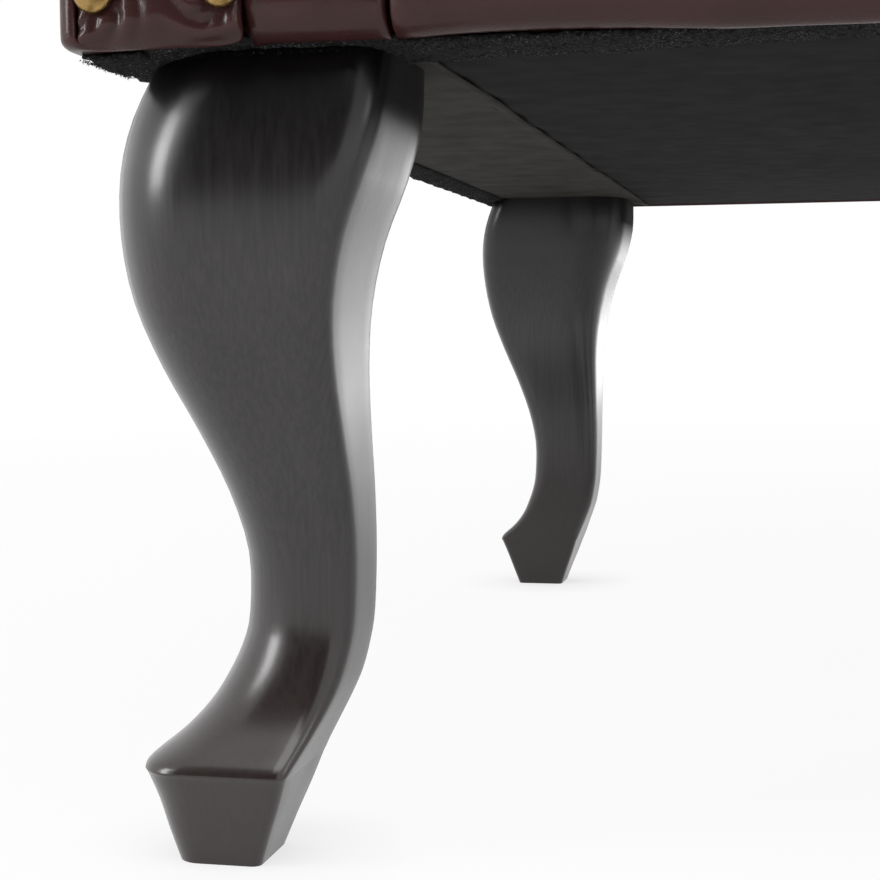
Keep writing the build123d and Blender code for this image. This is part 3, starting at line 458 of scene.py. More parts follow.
def settled(piece):
    """Write a piece's modifiers into its mesh and take them off."""
    bpy.context.view_layer.update()
    shaped = piece.evaluated_get(bpy.context.evaluated_depsgraph_get())
    mesh = bpy.data.meshes.new_from_object(shaped)
    piece.modifiers.clear()
    piece.data = mesh
    return piece


def largest_skin(piece):
    """Keep the outermost closed skin of a remeshed piece, and delete any that lie inside it."""
    shape = bmesh.new()
    shape.from_mesh(piece.data)
    left = set(shape.verts)
    skins = []
    while left:
        start = left.pop()
        skin, edge = {start}, [start]
        while edge:
            vertex = edge.pop()
            for line in vertex.link_edges:
                other = line.other_vert(vertex)
                if other not in skin:
                    skin.add(other)
                    edge.append(other)
        left -= skin
        skins.append(skin)
    biggest = max(skins, key=len)
    bmesh.ops.delete(shape, geom=[vertex for vertex in shape.verts if vertex not in biggest], context="VERTS")
    shape.to_mesh(piece.data)
    shape.free()
    return piece


def stuffed(name, nodes, voxel, rounds, material):
    """The skin over some CAD nodes, with its edges softened as leather over padding is."""
    piece = joined_nodes(name, nodes)
    remesh = piece.modifiers.new("skin", "REMESH")
    remesh.mode, remesh.voxel_size, remesh.use_smooth_shade = "VOXEL", voxel, True
    soft = piece.modifiers.new("soft", "SMOOTH")
    soft.factor, soft.iterations = 0.6, rounds
    largest_skin(settled(piece))
    piece.data.materials.clear()
    piece.data.materials.append(material)
    return piece


def moved_points(piece, how):
    """Move each point of a piece's mesh by what a function of its place and normal gives."""
    normals = [vertex.normal.copy() for vertex in piece.data.vertices]
    for vertex, normal in zip(piece.data.vertices, normals):
        vertex.co = vertex.co + how(vertex.co.copy(), normal)
    piece.data.update()
    return piece


def mirrored(piece, name):
    """The right-hand twin of a left-hand piece."""
    twin = bpy.data.objects.new(name, piece.data.copy())
    twin.data.transform(Matrix.Diagonal((-1, 1, 1, 1)))
    twin.data.flip_normals()
    bpy.context.scene.collection.objects.link(twin)
    return twin


def belongs(piece, slot, *nodes, body="chair"):
    """The calls that tie a piece to the frame: what it stands for and its body. Its finish, slot, is not used."""
    if nodes:
        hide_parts(*nodes)
    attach(piece, body)
    return piece


front_y, box_half_width, seat_half_width = -0.3694, 0.330, 0.2475
roll_x, roll_z, roll_radius, facing_radius = -0.30625, 0.57625, 0.05875, 0.05275
stem_outer_x, stem_inner_x, nail_inset, seam_nail_inset, nail_pitch = -0.325, -0.283, 0.006, 0.0038, 0.026
frame_bottom, hem_drop, hem_radius, first_nail = 0.205, 0.0013, 0.009, 0.013
facing_bottom = frame_bottom - hem_drop


def nails_along(points, pitch):
    """Even places along a line of points, a nail's pitch apart, with one at each end."""
    lengths = [(b - a).length for a, b in zip(points, points[1:])]
    total = sum(lengths)
    count = math.ceil(total / pitch)
    places = []
    for step in range(count + 1):
        left = total * step / count
        for (a, b), length in zip(zip(points, points[1:]), lengths):
            if left <= length + 1e-9:
                places.append(a.lerp(b, left / length))
                break
            left -= length
    return places


def facing_line():
    """The line of the nails round the left facing: up, over the roll, and down again."""
    outer, inner = stem_outer_x + nail_inset, stem_inner_x - seam_nail_inset
    radius = facing_radius - nail_inset
    first = math.pi + math.acos((roll_x - outer) / radius)
    last = -math.acos((inner - roll_x) / radius)
    points = [Vector((outer, front_y, frame_bottom + first_nail))]
    for step in range(65):
        turn = first + (last - first) * step / 64
        points.append(Vector((roll_x + radius * math.cos(turn), front_y, roll_z + radius * math.sin(turn))))
    points.append(Vector((inner, front_y, frame_bottom + first_nail)))
    return points


def pucker(gap, angle, depth):
    """How far the leather sinks at this distance and angle from a nail that pulls it in."""
    dish = -depth * math.exp(-(gap / 0.0075) ** 2)
    ridge = 0.40 * depth * math.exp(-((gap - 0.0105) / 0.0042) ** 2) * math.cos(5 * angle + 900 * gap)
    pleats = 0.30 * depth * math.exp(-((gap - 0.0070) / 0.0022) ** 2) * math.cos(11 * angle + 2 * math.sin(3 * angle))
    return dish + ridge + pleats


def rounded_under(place, centre_y, centre_z, radius):
    """Draw a point in to a rounded bottom edge, where it lies in front of and below the edge's centre."""
    y, z = place.y - centre_y, place.z - centre_z
    reach = math.hypot(y, z)
    if y >= 0 or z >= 0 or reach <= radius:
        return Vector((0, 0, 0))
    return Vector((0, y, z)) * (radius / reach - 1)


def seam_sway(z):
    """How far the seam beside the facing wanders from a straight line."""
    return 0.0011 * noise.noise(Vector((7, 3, z * 38))) + 0.0016 * math.exp(-((z - facing_bottom) / 0.010) ** 2)


facing_points = nails_along(facing_line(), nail_pitch)


def facing_pull(place, normal):
    """The facing's small folds: round each nail, and along its length where it is drawn tight."""
    wave = noise.noise(Vector((place.x * 90, 0, place.z * 28))) * 0.0006
    wave += noise.noise(Vector((place.x * 210, 3, place.z * 120))) * 0.00035
    sink = 0.0
    if place.y < front_y + 0.004:
        for nail in facing_points:
            gap = math.hypot(place.x - nail.x, place.z - nail.z)
            if gap < 0.022:
                sink += pucker(gap, math.atan2(place.z - nail.z, place.x - nail.x), 0.0016)
    below = max(1 - (place.z - frame_bottom) / 0.020, 0)
    beside = max(1 - (stem_inner_x - place.x) / 0.006, 0) * (place.z < 0.50)
    shift = Vector((seam_sway(place.z) * beside, 0, -hem_drop * below))
    under = rounded_under(place + shift, front_y + hem_radius, facing_bottom + hem_radius, hem_radius)
    return shift + under + Vector((0, -1, 0)) * (sink + min(wave, 0.0))


facing_left = stuffed("facing_leather_left", ["facing_cover_left", "facing_boards"], 0.0022, 5, oxblood)
facing_left.modifiers.new("fine", "SUBSURF").levels = 1
settled(facing_left)
moved_points(facing_left, facing_pull)
facing_right = mirrored(facing_left, "facing_leather_right")
belongs(facing_left, "oxblood_leather", "facing_cover_left")
belongs(facing_right, "oxblood_leather", "facing_cover_right")


# The nail heads: thin brass domes, stamped, lacquered dark and rubbed on their crowns,
# driven close together through the leather's edges. Each row is one piece. Their dark
# brown is partly that lacquer and partly painted shade round each head.

nail_radius, nail_height = 0.0052, 0.0032

nail_brass, tree, output = bare_material("aged_brass")
spot = place(tree, "ShaderNodeTexCoord").outputs["Object"]
stains = place(tree, "ShaderNodeTexNoise", {"Vector": spot, "Scale": 420.0, "Detail": 5.0}).outputs[0]
pits = place(tree, "ShaderNodeTexNoise", {"Vector": spot, "Scale": 1900.0, "Detail": 4.0}).outputs[0]
tarnish = ramp(tree, stains, [(0.36, 0.0), (0.64, 1.0)])
colour = blended(tree, tarnish, (0.43, 0.285, 0.105), (0.23, 0.140, 0.048))
# Partly painted shade: the dark brown where the head's curve is flattest stands for lacquer and for the shadow round
# each head.
crown = ramp(tree, place(tree, "ShaderNodeNewGeometry").outputs["Pointiness"], [(0.45, 0.0), (0.54, 1.0)])
colour = blended(tree, crown, (0.085, 0.050, 0.024), colour)
rough = place(tree, "ShaderNodeMapRange", {0: stains, 3: 0.22, 4: 0.42}).outputs[0]
relief = place(tree, "ShaderNodeBump", {"Strength": 0.22, "Distance": 0.0003, "Height": pits}).outputs[0]
shader = place(tree, "ShaderNodeBsdfPrincipled", {
    "Base Color": colour, "Roughness": rough, "Normal": relief, "Metallic": 1.0,
})
tree.links.new(shader.outputs[0], output.inputs["Surface"])


def nail_row(name, places, node):
    """One row of domed nail heads; each place is a point of the leather and the way out of it."""
    levels, around = 7, 20
    points, faces = [], []
    for number, (spot, out) in enumerate(places):
        lean = noise.noise_vector(Vector((number * 7.3, spot.z * 40, 1.7))) * 0.10
        out = (out + lean).normalized()
        across = out.orthogonal().normalized()
        beside = out.cross(across)
        base = len(points)
        for level in range(levels):
            rise = math.radians(90 * level / levels)
            ring_radius = nail_radius * math.cos(rise) ** 0.9
            for step in range(around):
                turn = 2 * math.pi * step / around
                edge = across * math.cos(turn) + beside * math.sin(turn)
                points.append(spot + edge * ring_radius + out * (nail_height * math.sin(rise) - 0.0004))
        points.append(spot + out * (nail_height - 0.0004))
        faces += [tuple(base + corner for corner in face) for face in band_faces(levels, around)]
        top = base + (levels - 1) * around
        faces += [(top + step, top + (step + 1) % around, base + levels * around) for step in range(around)]
        faces.append(tuple(base + step for step in reversed(range(around))))
    row = mesh_piece(name, points, faces, nail_brass)
    return belongs(row, "brass_nails", *node)


front_out = Vector((0, -1, 0))
sunk = Vector((0, 0.0004, 0))
left_facing = [(place + sunk, front_out) for place in facing_points]
right_facing = [(Vector((-place.x, place.y, place.z)) + sunk, front_out) for place in facing_points]
nail_row("facing_nail_heads", left_facing + right_facing, ["facing_nails"])


# The arms: a scroll of padding along the top of each and a straight padded inner side, under
# one hide that is drawn round the front edge and gathered into small pleats behind the facing.

arm_top_z, wrap_front_y, back_bottom_y = 0.635, front_y + 0.0022, 0.2096
rake, rake_start_z = math.radians(12.2), 0.310
arm_side_bottom, strip_return, fold_radius, seam_fold = 0.306, 0.050, 0.0075, 0.0024
strip_bottom = facing_bottom + 0.0014


def skin(name, grid, outward, material, thickness=0.002, refine=1):
    """A hide from rows of points, with its thickness behind the side that faces outward."""
    rows, across = len(grid), len(grid[0])
    points = [spot for row in grid for spot in row]
    faces = band_faces(rows, across, closed=False)
    middle = faces[len(faces) // 2]
    corners = [Vector(points[corner]) for corner in middle[:3]]
    facing = (corners[1] - corners[0]).cross(corners[2] - corners[1])
    if facing.dot(outward(sum(corners, Vector()) / 3) if callable(outward) else Vector(outward)) < 0:
        faces = [tuple(reversed(face)) for face in faces]
    piece = mesh_piece(name, points, faces, material)
    thick = piece.modifiers.new("thickness", "SOLIDIFY")
    thick.thickness, thick.offset = thickness, -1
    if refine:
        fine = piece.modifiers.new("fine", "SUBSURF")
        fine.levels = fine.render_levels = refine
    return piece


def spread(start, end, count):
    """Evenly spaced numbers from start to end, both counted."""
    return [start + (end - start) * step / (count - 1) for step in range(count)]


def arm_profile():
    """The arm's section: each point on the finished hide, its twin on the facing's edge, and its way out."""
    places = []
    for z in spread(arm_side_bottom, roll_z, 34)[:-1]:
        places.append((Vector((-seat_half_width, 0, z)), Vector((stem_inner_x, 0, z)), Vector((1, 0, 0))))
    neck = -math.acos((stem_inner_x - roll_x) / facing_radius)
    for turn in spread(0, math.pi + 1.16, 62):
        out = Vector((math.cos(turn), 0, math.sin(turn)))
        centre = Vector((roll_x, 0, roll_z))
        places.append((centre + out * roll_radius, centre + out * facing_radius, out))
    for number, (hide, facing, out) in enumerate(places):
        below = roll_z + facing_radius * math.sin(neck)
        if hide.x == -seat_half_width and hide.z > below:
            share = (hide.z - below) / (roll_z - below)
            turn = neck * (1 - share)
            round_place = Vector((roll_x + facing_radius * math.cos(turn), 0, roll_z + facing_radius * math.sin(turn)))
            places[number] = (hide, facing.lerp(round_place, min(share * 3, 1)), out)
    return places


def front_rows(hide, facing, fold=fold_radius):
    """The points of one line of the arm's hide, from the facing's edge round the front edge to its side."""
    inward = facing - hide
    reach = inward.length
    line = []
    for share in (-0.17, -0.01, 0.0, 0.02, 0.05, 0.1, 0.2, 0.4, 0.6, 0.8):
        flat = max(reach - fold, 0.0)
        crown = -0.0012 * math.sin(math.pi * min(max(share, 0) * 1.25, 1)) if flat > 0.01 else 0.0
        back = 0.0095 * max(-share / 0.17, 0) + 0.0026 * min(math.exp(-share / 0.045), 1)
        line.append((facing - inward.normalized() * flat * share) + Vector((0, wrap_front_y + crown + back, 0)))
    radius = min(fold, reach)
    for turn in spread(0, math.pi / 2, 6):
        spot = hide + inward.normalized() * radius * (1 - math.sin(turn))
        line.append(spot + Vector((0, wrap_front_y + radius * (1 - math.cos(turn)), 0)))
    return line


def arm_folds(place, out, from_front):
    """Soft wrinkles of the hide along the arm, with gathers that fade behind the front edge."""
    sway = noise.noise(Vector((place.x * 14, place.y * 9, place.z * 14))) * 0.0022
    sway += noise.noise(Vector((place.x * 40, place.y * 22, place.z * 40 + 5))) * 0.0009
    around = math.atan2(place.z - roll_z, place.x - roll_x)
    gather = math.cos(around * 26 + 2.2 * noise.noise(Vector((around * 3, 0, 2))))
    fade = math.exp(-((from_front - 0.012) / 0.030) ** 2) if place.z > roll_z - 0.03 else 0.0
    return out * (min(sway, 0.0005) - 0.0010 * fade * (1 - gather))


def rear_y(z, before=0.003):
    """How far back the frame reaches at a height, this far before the rear leather's face."""
    return back_bottom_y - before + max(z - rake_start_z, 0) * math.tan(rake)


arm_lines = arm_profile()
arm_grid = []
for hide, facing, out in arm_lines:
    line = front_rows(hide, facing)
    for y in spread(front_y + 0.014, rear_y(hide.z), 74):
        spot = hide + Vector((0, y, 0))
        line.append(spot + arm_folds(spot, out, y - front_y))
    arm_grid.append(line)

skin("arm_hide_left", arm_grid, lambda spot: spot - Vector((roll_x, spot.y, roll_z)), oxblood)


def strip_line(z, back):
    """A line of the strip below the arm, from the facing's edge round to its short inner side."""
    hide, facing = Vector((-seat_half_width, 0, z)), Vector((stem_inner_x + seam_sway(z), 0, z))
    line = front_rows(hide, facing, seam_fold + (fold_radius - seam_fold) * min(max((z - 0.262) / 0.040, 0), 1))
    behind = Vector((hide.x, 0, max(z, frame_bottom + 0.0012)))
    line += [behind + Vector((0, y, 0)) for y in spread(front_y + 0.014, front_y + strip_return, 5)]
    return [spot + Vector((0, back, 0)) for spot in line]


strip_grid = []
for z in spread(arm_side_bottom, strip_bottom + hem_radius, 34):
    strip_grid.append([
        spot + Vector((0, noise.noise(Vector((spot.x * 60, 9, z * 45))) * 0.0007, 0)) for spot in strip_line(z, 0)
    ])
for turn in spread(0, math.pi / 2, 7)[1:]:
    drop, back = hem_radius * math.sin(turn), hem_radius * (1 - math.cos(turn))
    strip_grid.append(strip_line(strip_bottom + hem_radius - drop, back))
strip_grid.append(strip_line(strip_bottom + 0.0030, hem_radius + 0.0025))
skin("arm_strip_left", strip_grid, (0, -1, 0), oxblood)

for name, nodes in (("arm_hide", ["inside_arm_cover", "arm_foam"]), ("arm_strip", [])):
    left = bpy.data.objects[f"{name}_left"]
    settled(left)
    right = mirrored(left, f"{name}_right")
    belongs(left, "oxblood_leather", *[f"{node}_left" for node in nodes])
    belongs(right, "oxblood_leather", *[f"{node}_right" for node in nodes])


# The outside of each arm: a flat hide backed with felt, tucked under the scroll at the top,
# turned round the front corner to meet the facing, and turned under the frame at the bottom.

under_roll_z, corner_radius = 0.5215, 0.0055
side_bottom, side_hem, side_return = facing_bottom + 0.0012, 0.0030, 0.009


def outside_line(z, sag):
    """One level line of the arm's outside, from the facing's edge round the corner to the back."""
    arm_back_y = rear_y(z)
    line = []
    for turn in spread(0, math.pi / 2, 6):
        x = -box_half_width + corner_radius * (1 - math.sin(turn))
        line.append(Vector((x, front_y + 0.0012 + corner_radius * (1 - math.cos(turn)), z)))
    for y in spread(front_y + 0.012, arm_back_y, 64):
        share = (y - front_y) / (arm_back_y - front_y)
        swell = 0.0022 * math.sin(math.pi * min(max(share, 0), 1)) * sag
        wave = noise.noise(Vector((3, y * 16, z * 16))) * 0.0012 + noise.noise(Vector((8, y * 50, z * 34))) * 0.0004
        line.append(Vector((-box_half_width - swell - wave * sag * 0.8, y, z)))
    return line


outside_grid = [[spot + Vector((0.010, 0, 0.004)) for spot in outside_line(under_roll_z, 0.0)]]
for z in spread(under_roll_z, side_bottom + side_hem, 46):
    share = (z - side_bottom) / (under_roll_z - side_bottom)
    outside_grid.append(outside_line(z, math.sin(math.pi * share) ** 0.6))
for turn in spread(0, math.pi / 2, 7)[1:]:
    drop, inward = side_hem * math.sin(turn), side_hem * (1 - math.cos(turn))
    level = outside_line(side_bottom + side_hem - drop, 0.0)
    outside_grid.append([spot + Vector((inward, inward * (spot.y < front_y + 0.011), 0)) for spot in level])
last = outside_grid[-1]
outside_grid.append([spot + Vector((side_return, 0.8 * max(front_y + 0.012 - spot.y, 0), 0)) for spot in last])
outside_left = settled(skin("arm_outside_left", outside_grid, (-1, 0, 0), oxblood))
outside_right = mirrored(outside_left, "arm_outside_right")
belongs(outside_left, "oxblood_leather", "outside_arm_cover_left")
belongs(outside_right, "oxblood_leather", "outside_arm_cover_right")


# The front border under the cushion: one hide over a thin pad on the seat's front rail. It is
# sewn to the arms' hide at both ends and puckers there, and its lower edge is turned under.

deck_z, border_return, border_top_radius, border_end = 0.327, 0.060, 0.016, 0.2472

border_grid = []
border_ends = [border_end - gap for gap in (0.0, 0.0003, 0.0008, 0.0016, 0.0028, 0.0044)]
border_places = spread(-border_ends[-1], border_ends[-1], 150)[1:-1]
for x in [-end for end in border_ends] + border_places + border_ends[::-1]:
    to_end = border_end - abs(x)
    seam = math.exp(-(to_end / 0.0022) ** 1.3)
    tucked = 0.010 * max(1 - to_end / 0.0008, 0)
    crease = noise.noise(Vector((x * 60, 4, 0))) * 0.0006 + noise.noise(Vector((x * 18, 7, 0))) * 0.0008

    def pushed(z):
        """How far the border's face stands back at this height."""
        sway = math.sin(z * 420 + 2.0 * noise.noise(Vector((z * 30, 0, 0))))
        pleat = math.exp(-(to_end / 0.016) ** 2) * sway * 0.0008
        wave = noise.noise(Vector((x * 34, 11, z * 55))) * 0.0006
        return 0.0010 + tucked + 0.0020 * seam + crease * 0.6 + pleat + wave

    line = []
    for y in spread(front_y + border_return, front_y + border_top_radius, 7)[:-1]:
        line.append(Vector((x, y, deck_z)))
    for turn in spread(0, math.pi / 2, 8):
        y = front_y + border_top_radius * (1 - math.sin(turn)) + pushed(deck_z) * math.sin(turn)
        line.append(Vector((x, y, deck_z - border_top_radius * (1 - math.cos(turn)))))
    for z in spread(deck_z - border_top_radius, facing_bottom + hem_radius, 30)[1:]:
        line.append(Vector((x, front_y + pushed(z), z)))
    slack = 0.0019 * math.exp(-((abs(x) - 0.215) / 0.036) ** 2) + 0.0012 * seam
    slack += 0.0003 * noise.noise(Vector((x * 45, 2, 6)))
    for turn in spread(0, math.pi / 2, 7)[1:]:
        y = front_y + pushed(facing_bottom + hem_radius) + hem_radius * (1 - math.cos(turn))
        line.append(Vector((x, y, facing_bottom + hem_radius * (1 - math.sin(turn)) + slack * math.sin(turn))))
    line.append(line[-1] + Vector((0, 0.0025, 0.0030)))
    border_grid.append(line)
border = skin("front_border", border_grid, (0, -1, 0), oxblood)
belongs(border, "oxblood_leather", "front_border_cover")


# The wings: boards on the arm rails, padded thickly where they meet the back and thinly at
# their curved front edges. A hide is drawn over each, and a row of nails and a corded seam
# follow its edge on the outer side.


def wing_pull(place, normal):
    """The wing's soft wrinkles, deepest where the hide meets the arm."""
    near_arm = math.exp(-max(place.z - arm_top_z, 0) / 0.06)
    pleat = math.sin(place.y * 160 + 3 * noise.noise(place * 9)) * 0.0011 * near_arm
    wave = noise.noise(place * 13) * 0.0020 + noise.noise(place * 42) * 0.0007
    inner = 1.0 if normal.x > -0.6 else 0.25
    axis = Vector((roll_x - place.x, 0, roll_z - place.z))
    pressed = 0.0035 if axis.length < roll_radius + 0.0060 else 0.0
    return normal * (min(wave, 0.0004) + min(pleat, 0.0004)) * inner + axis.normalized() * pressed


wing_left = stuffed(
    "wing_left", ["inside_wing_cover_left", "outside_wing_cover_left", "wing_foam_left", "wing_frame_left"],
    0.0048, 3, oxblood)
moved_points(wing_left, wing_pull)
wing_right = mirrored(wing_left, "wing_right")
for wing, side in ((wing_left, "left"), (wing_right, "right")):
    fine = wing.modifiers.new("fine", "SUBSURF")
    fine.levels = fine.render_levels = 1
    hides = (f"inside_wing_cover_{side}", f"outside_wing_cover_{side}", f"wing_foam_{side}")
    belongs(wing, "oxblood_leather", *hides)


def node_islands(node):
    """The middle of each separate solid of a CAD node."""
    shape = bmesh.new()
    shape.from_mesh(chair_nodes[node].data)
    bmesh.ops.remove_doubles(shape, verts=shape.verts, dist=1e-5)
    left, middles = set(shape.verts), []
    while left:
        start = left.pop()
        island, edge = {start}, [start]
        while edge:
            vertex = edge.pop()
            for line in vertex.link_edges:
                other = line.other_vert(vertex)
                if other not in island:
                    island.add(other)
                    edge.append(other)
        left -= island
        low = Vector([min(vertex.co[axis] for vertex in island) for axis in range(3)])
        high = Vector([max(vertex.co[axis] for vertex in island) for axis in range(3)])
        middles.append((low + high) / 2)
    shape.free()
    return sorted(middles, key=lambda spot: (round(spot.x, 3), round(spot.y, 3), spot.z))


def on_skin(spots, out, pieces, reach=0.03):
    """Each spot dropped onto the nearest of some pieces, looking back along the way out."""
    bpy.context.view_layer.update()
    deps = bpy.context.evaluated_depsgraph_get()
    found = []
    for spot in spots:
        start, best = spot + out * reach, None
        for piece in pieces:
            hit, place, normal, face = piece.evaluated_get(deps).ray_cast(start, -out)
            if hit and (best is None or (place - start).length < (best - start).length):
                best = place
        found.append(((best if best and (best - start).length < 2 * reach else spot), out))
    return found


wing_heads = node_islands("wing_nails")
left_heads = on_skin([spot for spot in wing_heads if spot.x < 0], Vector((-1, 0, 0)), [wing_left])
right_heads = on_skin([spot for spot in wing_heads if spot.x > 0], Vector((1, 0, 0)), [wing_right])
nail_row("wing_nail_heads", left_heads + right_heads, ["wing_nails"])


# The inside back: one large hide drawn deep into the padding by twenty-five covered buttons in
# staggered rows. Folded pleats run between them, and straight ones up to the crest and down.

back_face, back_bottom_v, crest_v, crest_drop, crest_round = 0.1125, -0.004, 0.7599, 0.022, 0.034
back_edge, tuft_pitch, tuft_rise, first_tuft_v, tuft_rows = 0.2472, 0.123, 0.076, 0.200, 7
pleat_depth, button_depth, button_pull, side_round = 0.0105, 0.0105, 0.015, 0.020


def raked(x, w, v):
    """A place on the leaning back: across, forward of its rear face, and up along it."""
    y = back_bottom_y - w * math.cos(rake) + v * math.sin(rake)
    return Vector((x, y, rake_start_z + w * math.sin(rake) + v * math.cos(rake)))


def crest_top(x):
    """How far up the back its arched top is at this place across."""
    return crest_v - crest_drop * min(abs(x) / seat_half_width, 1) ** 2


button_places = []
for row in range(tuft_rows):
    for step in range(-2, 3):
        x = (step + (0.5 if row % 2 == 0 else 0)) * tuft_pitch
        if abs(x) < 0.22:
            button_places.append((x, first_tuft_v + row * tuft_rise))


def tuft_sink(x, v):
    """How far the hide sinks below the back's full padding between and at its buttons."""
    last_row = first_tuft_v + (tuft_rows - 1) * tuft_rise
    inside = min(max(v, first_tuft_v), last_row)
    across = (x - tuft_pitch / 2) / (tuft_pitch / 2)
    rise = (inside - first_tuft_v) / tuft_rise
    pillow = abs(math.sin(math.pi * (across + rise) / 2) * math.sin(math.pi * (rise - across) / 2))
    beyond = abs(v - inside)
    fade = math.exp(-(beyond / 0.16) ** 2)
    sink = pleat_depth * (1 - (1 - (1 - pillow) ** 2.2) ** 0.62) * fade
    for button_x, button_v in button_places:
        gap = math.hypot(x - button_x, v - button_v)
        if gap < 0.06:
            sink += button_depth * math.exp(-(gap / button_pull) ** 1.6)
    return sink


def creased(x, v):
    """Fine wrinkles that run from the buttons across the swells of the back."""
    wave = noise.noise(Vector((x * 26, v * 26, 1))) * 0.0013 + noise.noise(Vector((x * 70, v * 70, 5))) * 0.0005
    for button_x, button_v in button_places:
        gap = math.hypot(x - button_x, v - button_v)
        if 0.012 < gap < 0.045:
            angle = math.atan2(v - button_v, x - button_x)
            wave += 0.0007 * math.cos(9 * angle + button_x * 90) * math.exp(-((gap - 0.022) / 0.010) ** 2)
    return wave


back_grid = []
for x in spread(-back_edge, back_edge, 230):
    turned = max(abs(x) - (back_edge - side_round), 0) / side_round
    edge_drop = side_round * (1 - math.sqrt(max(1 - turned ** 2, 0)))
    edge = 1 - turned ** 2
    line = []
    for v in spread(back_bottom_v, crest_top(x) - crest_round, 300)[:-1]:
        depth = (tuft_sink(x, v) - creased(x, v)) * edge
        line.append(raked(x, back_face - depth - edge_drop, v))
    for turn in spread(0, math.pi / 2, 14):
        v = crest_top(x) - crest_round + crest_round * math.sin(turn)
        radius = crest_round - (tuft_sink(x, crest_top(x) - crest_round) - creased(x, v)) * edge * math.cos(turn)
        w = back_face - crest_round + radius * math.cos(turn) - edge_drop * math.cos(turn)
        line.append(raked(x, w, v - edge_drop * 0.6 * math.sin(turn)))
    for w in spread(back_face - crest_round, 0.0045, 10)[1:]:
        wave = noise.noise(Vector((x * 20, w * 30, 2))) * 0.0008
        line.append(raked(x, w, crest_top(x) - edge_drop * 0.6 - wave - 0.0004))
    back_grid.append(line)
inside_back = skin("tufted_back", back_grid, (0, -1, 0.2), oxblood, refine=0)
belongs(inside_back, "oxblood_leather", "inside_back_cover", "back_foam")

button_radius, button_levels, button_around = 0.0105, 6, 24
points, faces = [], []
for number, (x, v) in enumerate(button_places):
    base = len(points)
    seat = back_face - tuft_sink(x, v) + 0.0006
    turn_of = number * 0.7
    for level in range(button_levels):
        rise = math.radians(90 * level / button_levels)
        radius = button_radius * math.cos(rise) ** 0.75
        for step in range(button_around):
            turn = 2 * math.pi * step / button_around + turn_of
            lift = 0.0062 * math.sin(rise) + 0.0003 * math.sin(4 * turn) * math.cos(rise)
            points.append(raked(x + radius * math.cos(turn), seat + lift, v + radius * math.sin(turn)))
    points.append(raked(x, seat + 0.0062, v))
    faces += [tuple(base + corner for corner in face) for face in band_faces(button_levels, button_around)]
    top = base + (button_levels - 1) * button_around
    tip = base + button_levels * button_around
    faces += [(top + step, top + (step + 1) % button_around, tip) for step in range(button_around)]
    faces.append(tuple(base + step for step in reversed(range(button_around))))
buttons = mesh_piece("covered_buttons", points, [tuple(reversed(face)) for face in faces], oxblood)
belongs(buttons, "oxblood_leather", "back_buttons")


# The outside back: a flat backed hide from the crest to the bottom of the frame, laid over the
# arms' and wings' hides, with its edges folded in and nailed up both sides and across the top.

outer_corner, outer_top_z, outer_arch = 0.022, 1.0311, 0.0217


def outer_half_width(z):
    """Half the width of the outside back: it bulges where it covers the ends of the arms' scrolls."""
    off = z - roll_z
    bulge = math.sqrt(roll_radius ** 2 - off ** 2) - roll_x if abs(off) < roll_radius else 0
    return max(box_half_width, bulge) - 0.0006


def outer_place(across, share, z):
    """A point of the outside back, from its level and its share of the way across."""
    x = across * outer_half_width(z)
    if share > 0:
        x = across * (box_half_width - outer_corner + outer_corner * math.sqrt(max(1 - share ** 2, 0)))
        top = outer_top_z + outer_arch * (1 - min(abs(x) / seat_half_width, 1) ** 2)
        z = z + share * (top - z)
    edge = min((1 - abs(across)) * box_half_width, 0.35)
    below = z - facing_bottom
    swell = 0.0030 * (1 - math.exp(-(edge / 0.05) ** 1.5)) * (1 - math.exp(-(below / 0.08) ** 2))
    wave = noise.noise(Vector((x * 11, 21, z * 11))) * 0.0016 + noise.noise(Vector((x * 40, 3, z * 40))) * 0.0005
    fold = 0.0028 * math.exp(-(edge / 0.0026) ** 2)
    lift = swell + min(wave, 0.0003) * min(edge / 0.03, 1) - fold
    y = rear_y(z, 0.0) + lift
    return Vector((x, y, z))


outer_grid = []
side_shares = [1 - gap for gap in (0, 0.004, 0.010, 0.020, 0.035)]
inner_shares = spread(0.0, side_shares[-1], 42)[:-1]
half_shares = inner_shares + sorted(side_shares)
outer_shares = [-share for share in reversed(half_shares[1:])] + half_shares
corner_start_z = outer_top_z - outer_corner
for z in spread(facing_bottom + hem_radius, corner_start_z, 118):
    outer_grid.append([outer_place(across, 0.0, z) for across in outer_shares])
for share in spread(0, 1, 10)[1:]:
    outer_grid.append([outer_place(across, share, corner_start_z) for across in outer_shares])
under = []
for turn in reversed(spread(0, math.pi / 2, 6)[1:]):
    drop, inward = hem_radius * math.sin(turn), hem_radius * (1 - math.cos(turn))
    under.append([spot + Vector((0, -inward, -drop)) for spot in outer_grid[0]])
outer_grid = under + outer_grid
outside_back = skin("outside_back", outer_grid, (0, 1, 0), oxblood, refine=0)
belongs(outside_back, "oxblood_leather", "outside_back_cover")


# A narrow strip of the same hide on each side of the back, which joins the wing's outer hide
# to the edge of the outside back and covers the side of the back post.

post_strip_foot, post_strip_top, post_strip_front, post_strip_rear = 0.612, 1.028, 0.0580, 0.0030
for side, turned in (("left", -1), ("right", 1)):
    post_grid = []
    for z in spread(post_strip_foot, post_strip_top, 60):
        line = []
        for before in spread(post_strip_front, post_strip_rear, 16):
            wave = noise.noise(Vector((turned * 4, before * 60, z * 20))) * 0.0005
            edge = 0.0016 * math.exp(-((before - post_strip_rear) / 0.0030) ** 2)
            half = min(outer_half_width(z), box_half_width) - 0.0008
            line.append(Vector((turned * (half - edge + wave), rear_y(z, before), z)))
        post_grid.append(line)
    post_strip = skin(f"post_strip_{side}", post_grid, (turned, 0, 0), oxblood, thickness=0.0012)
    belongs(post_strip, "oxblood_leather")


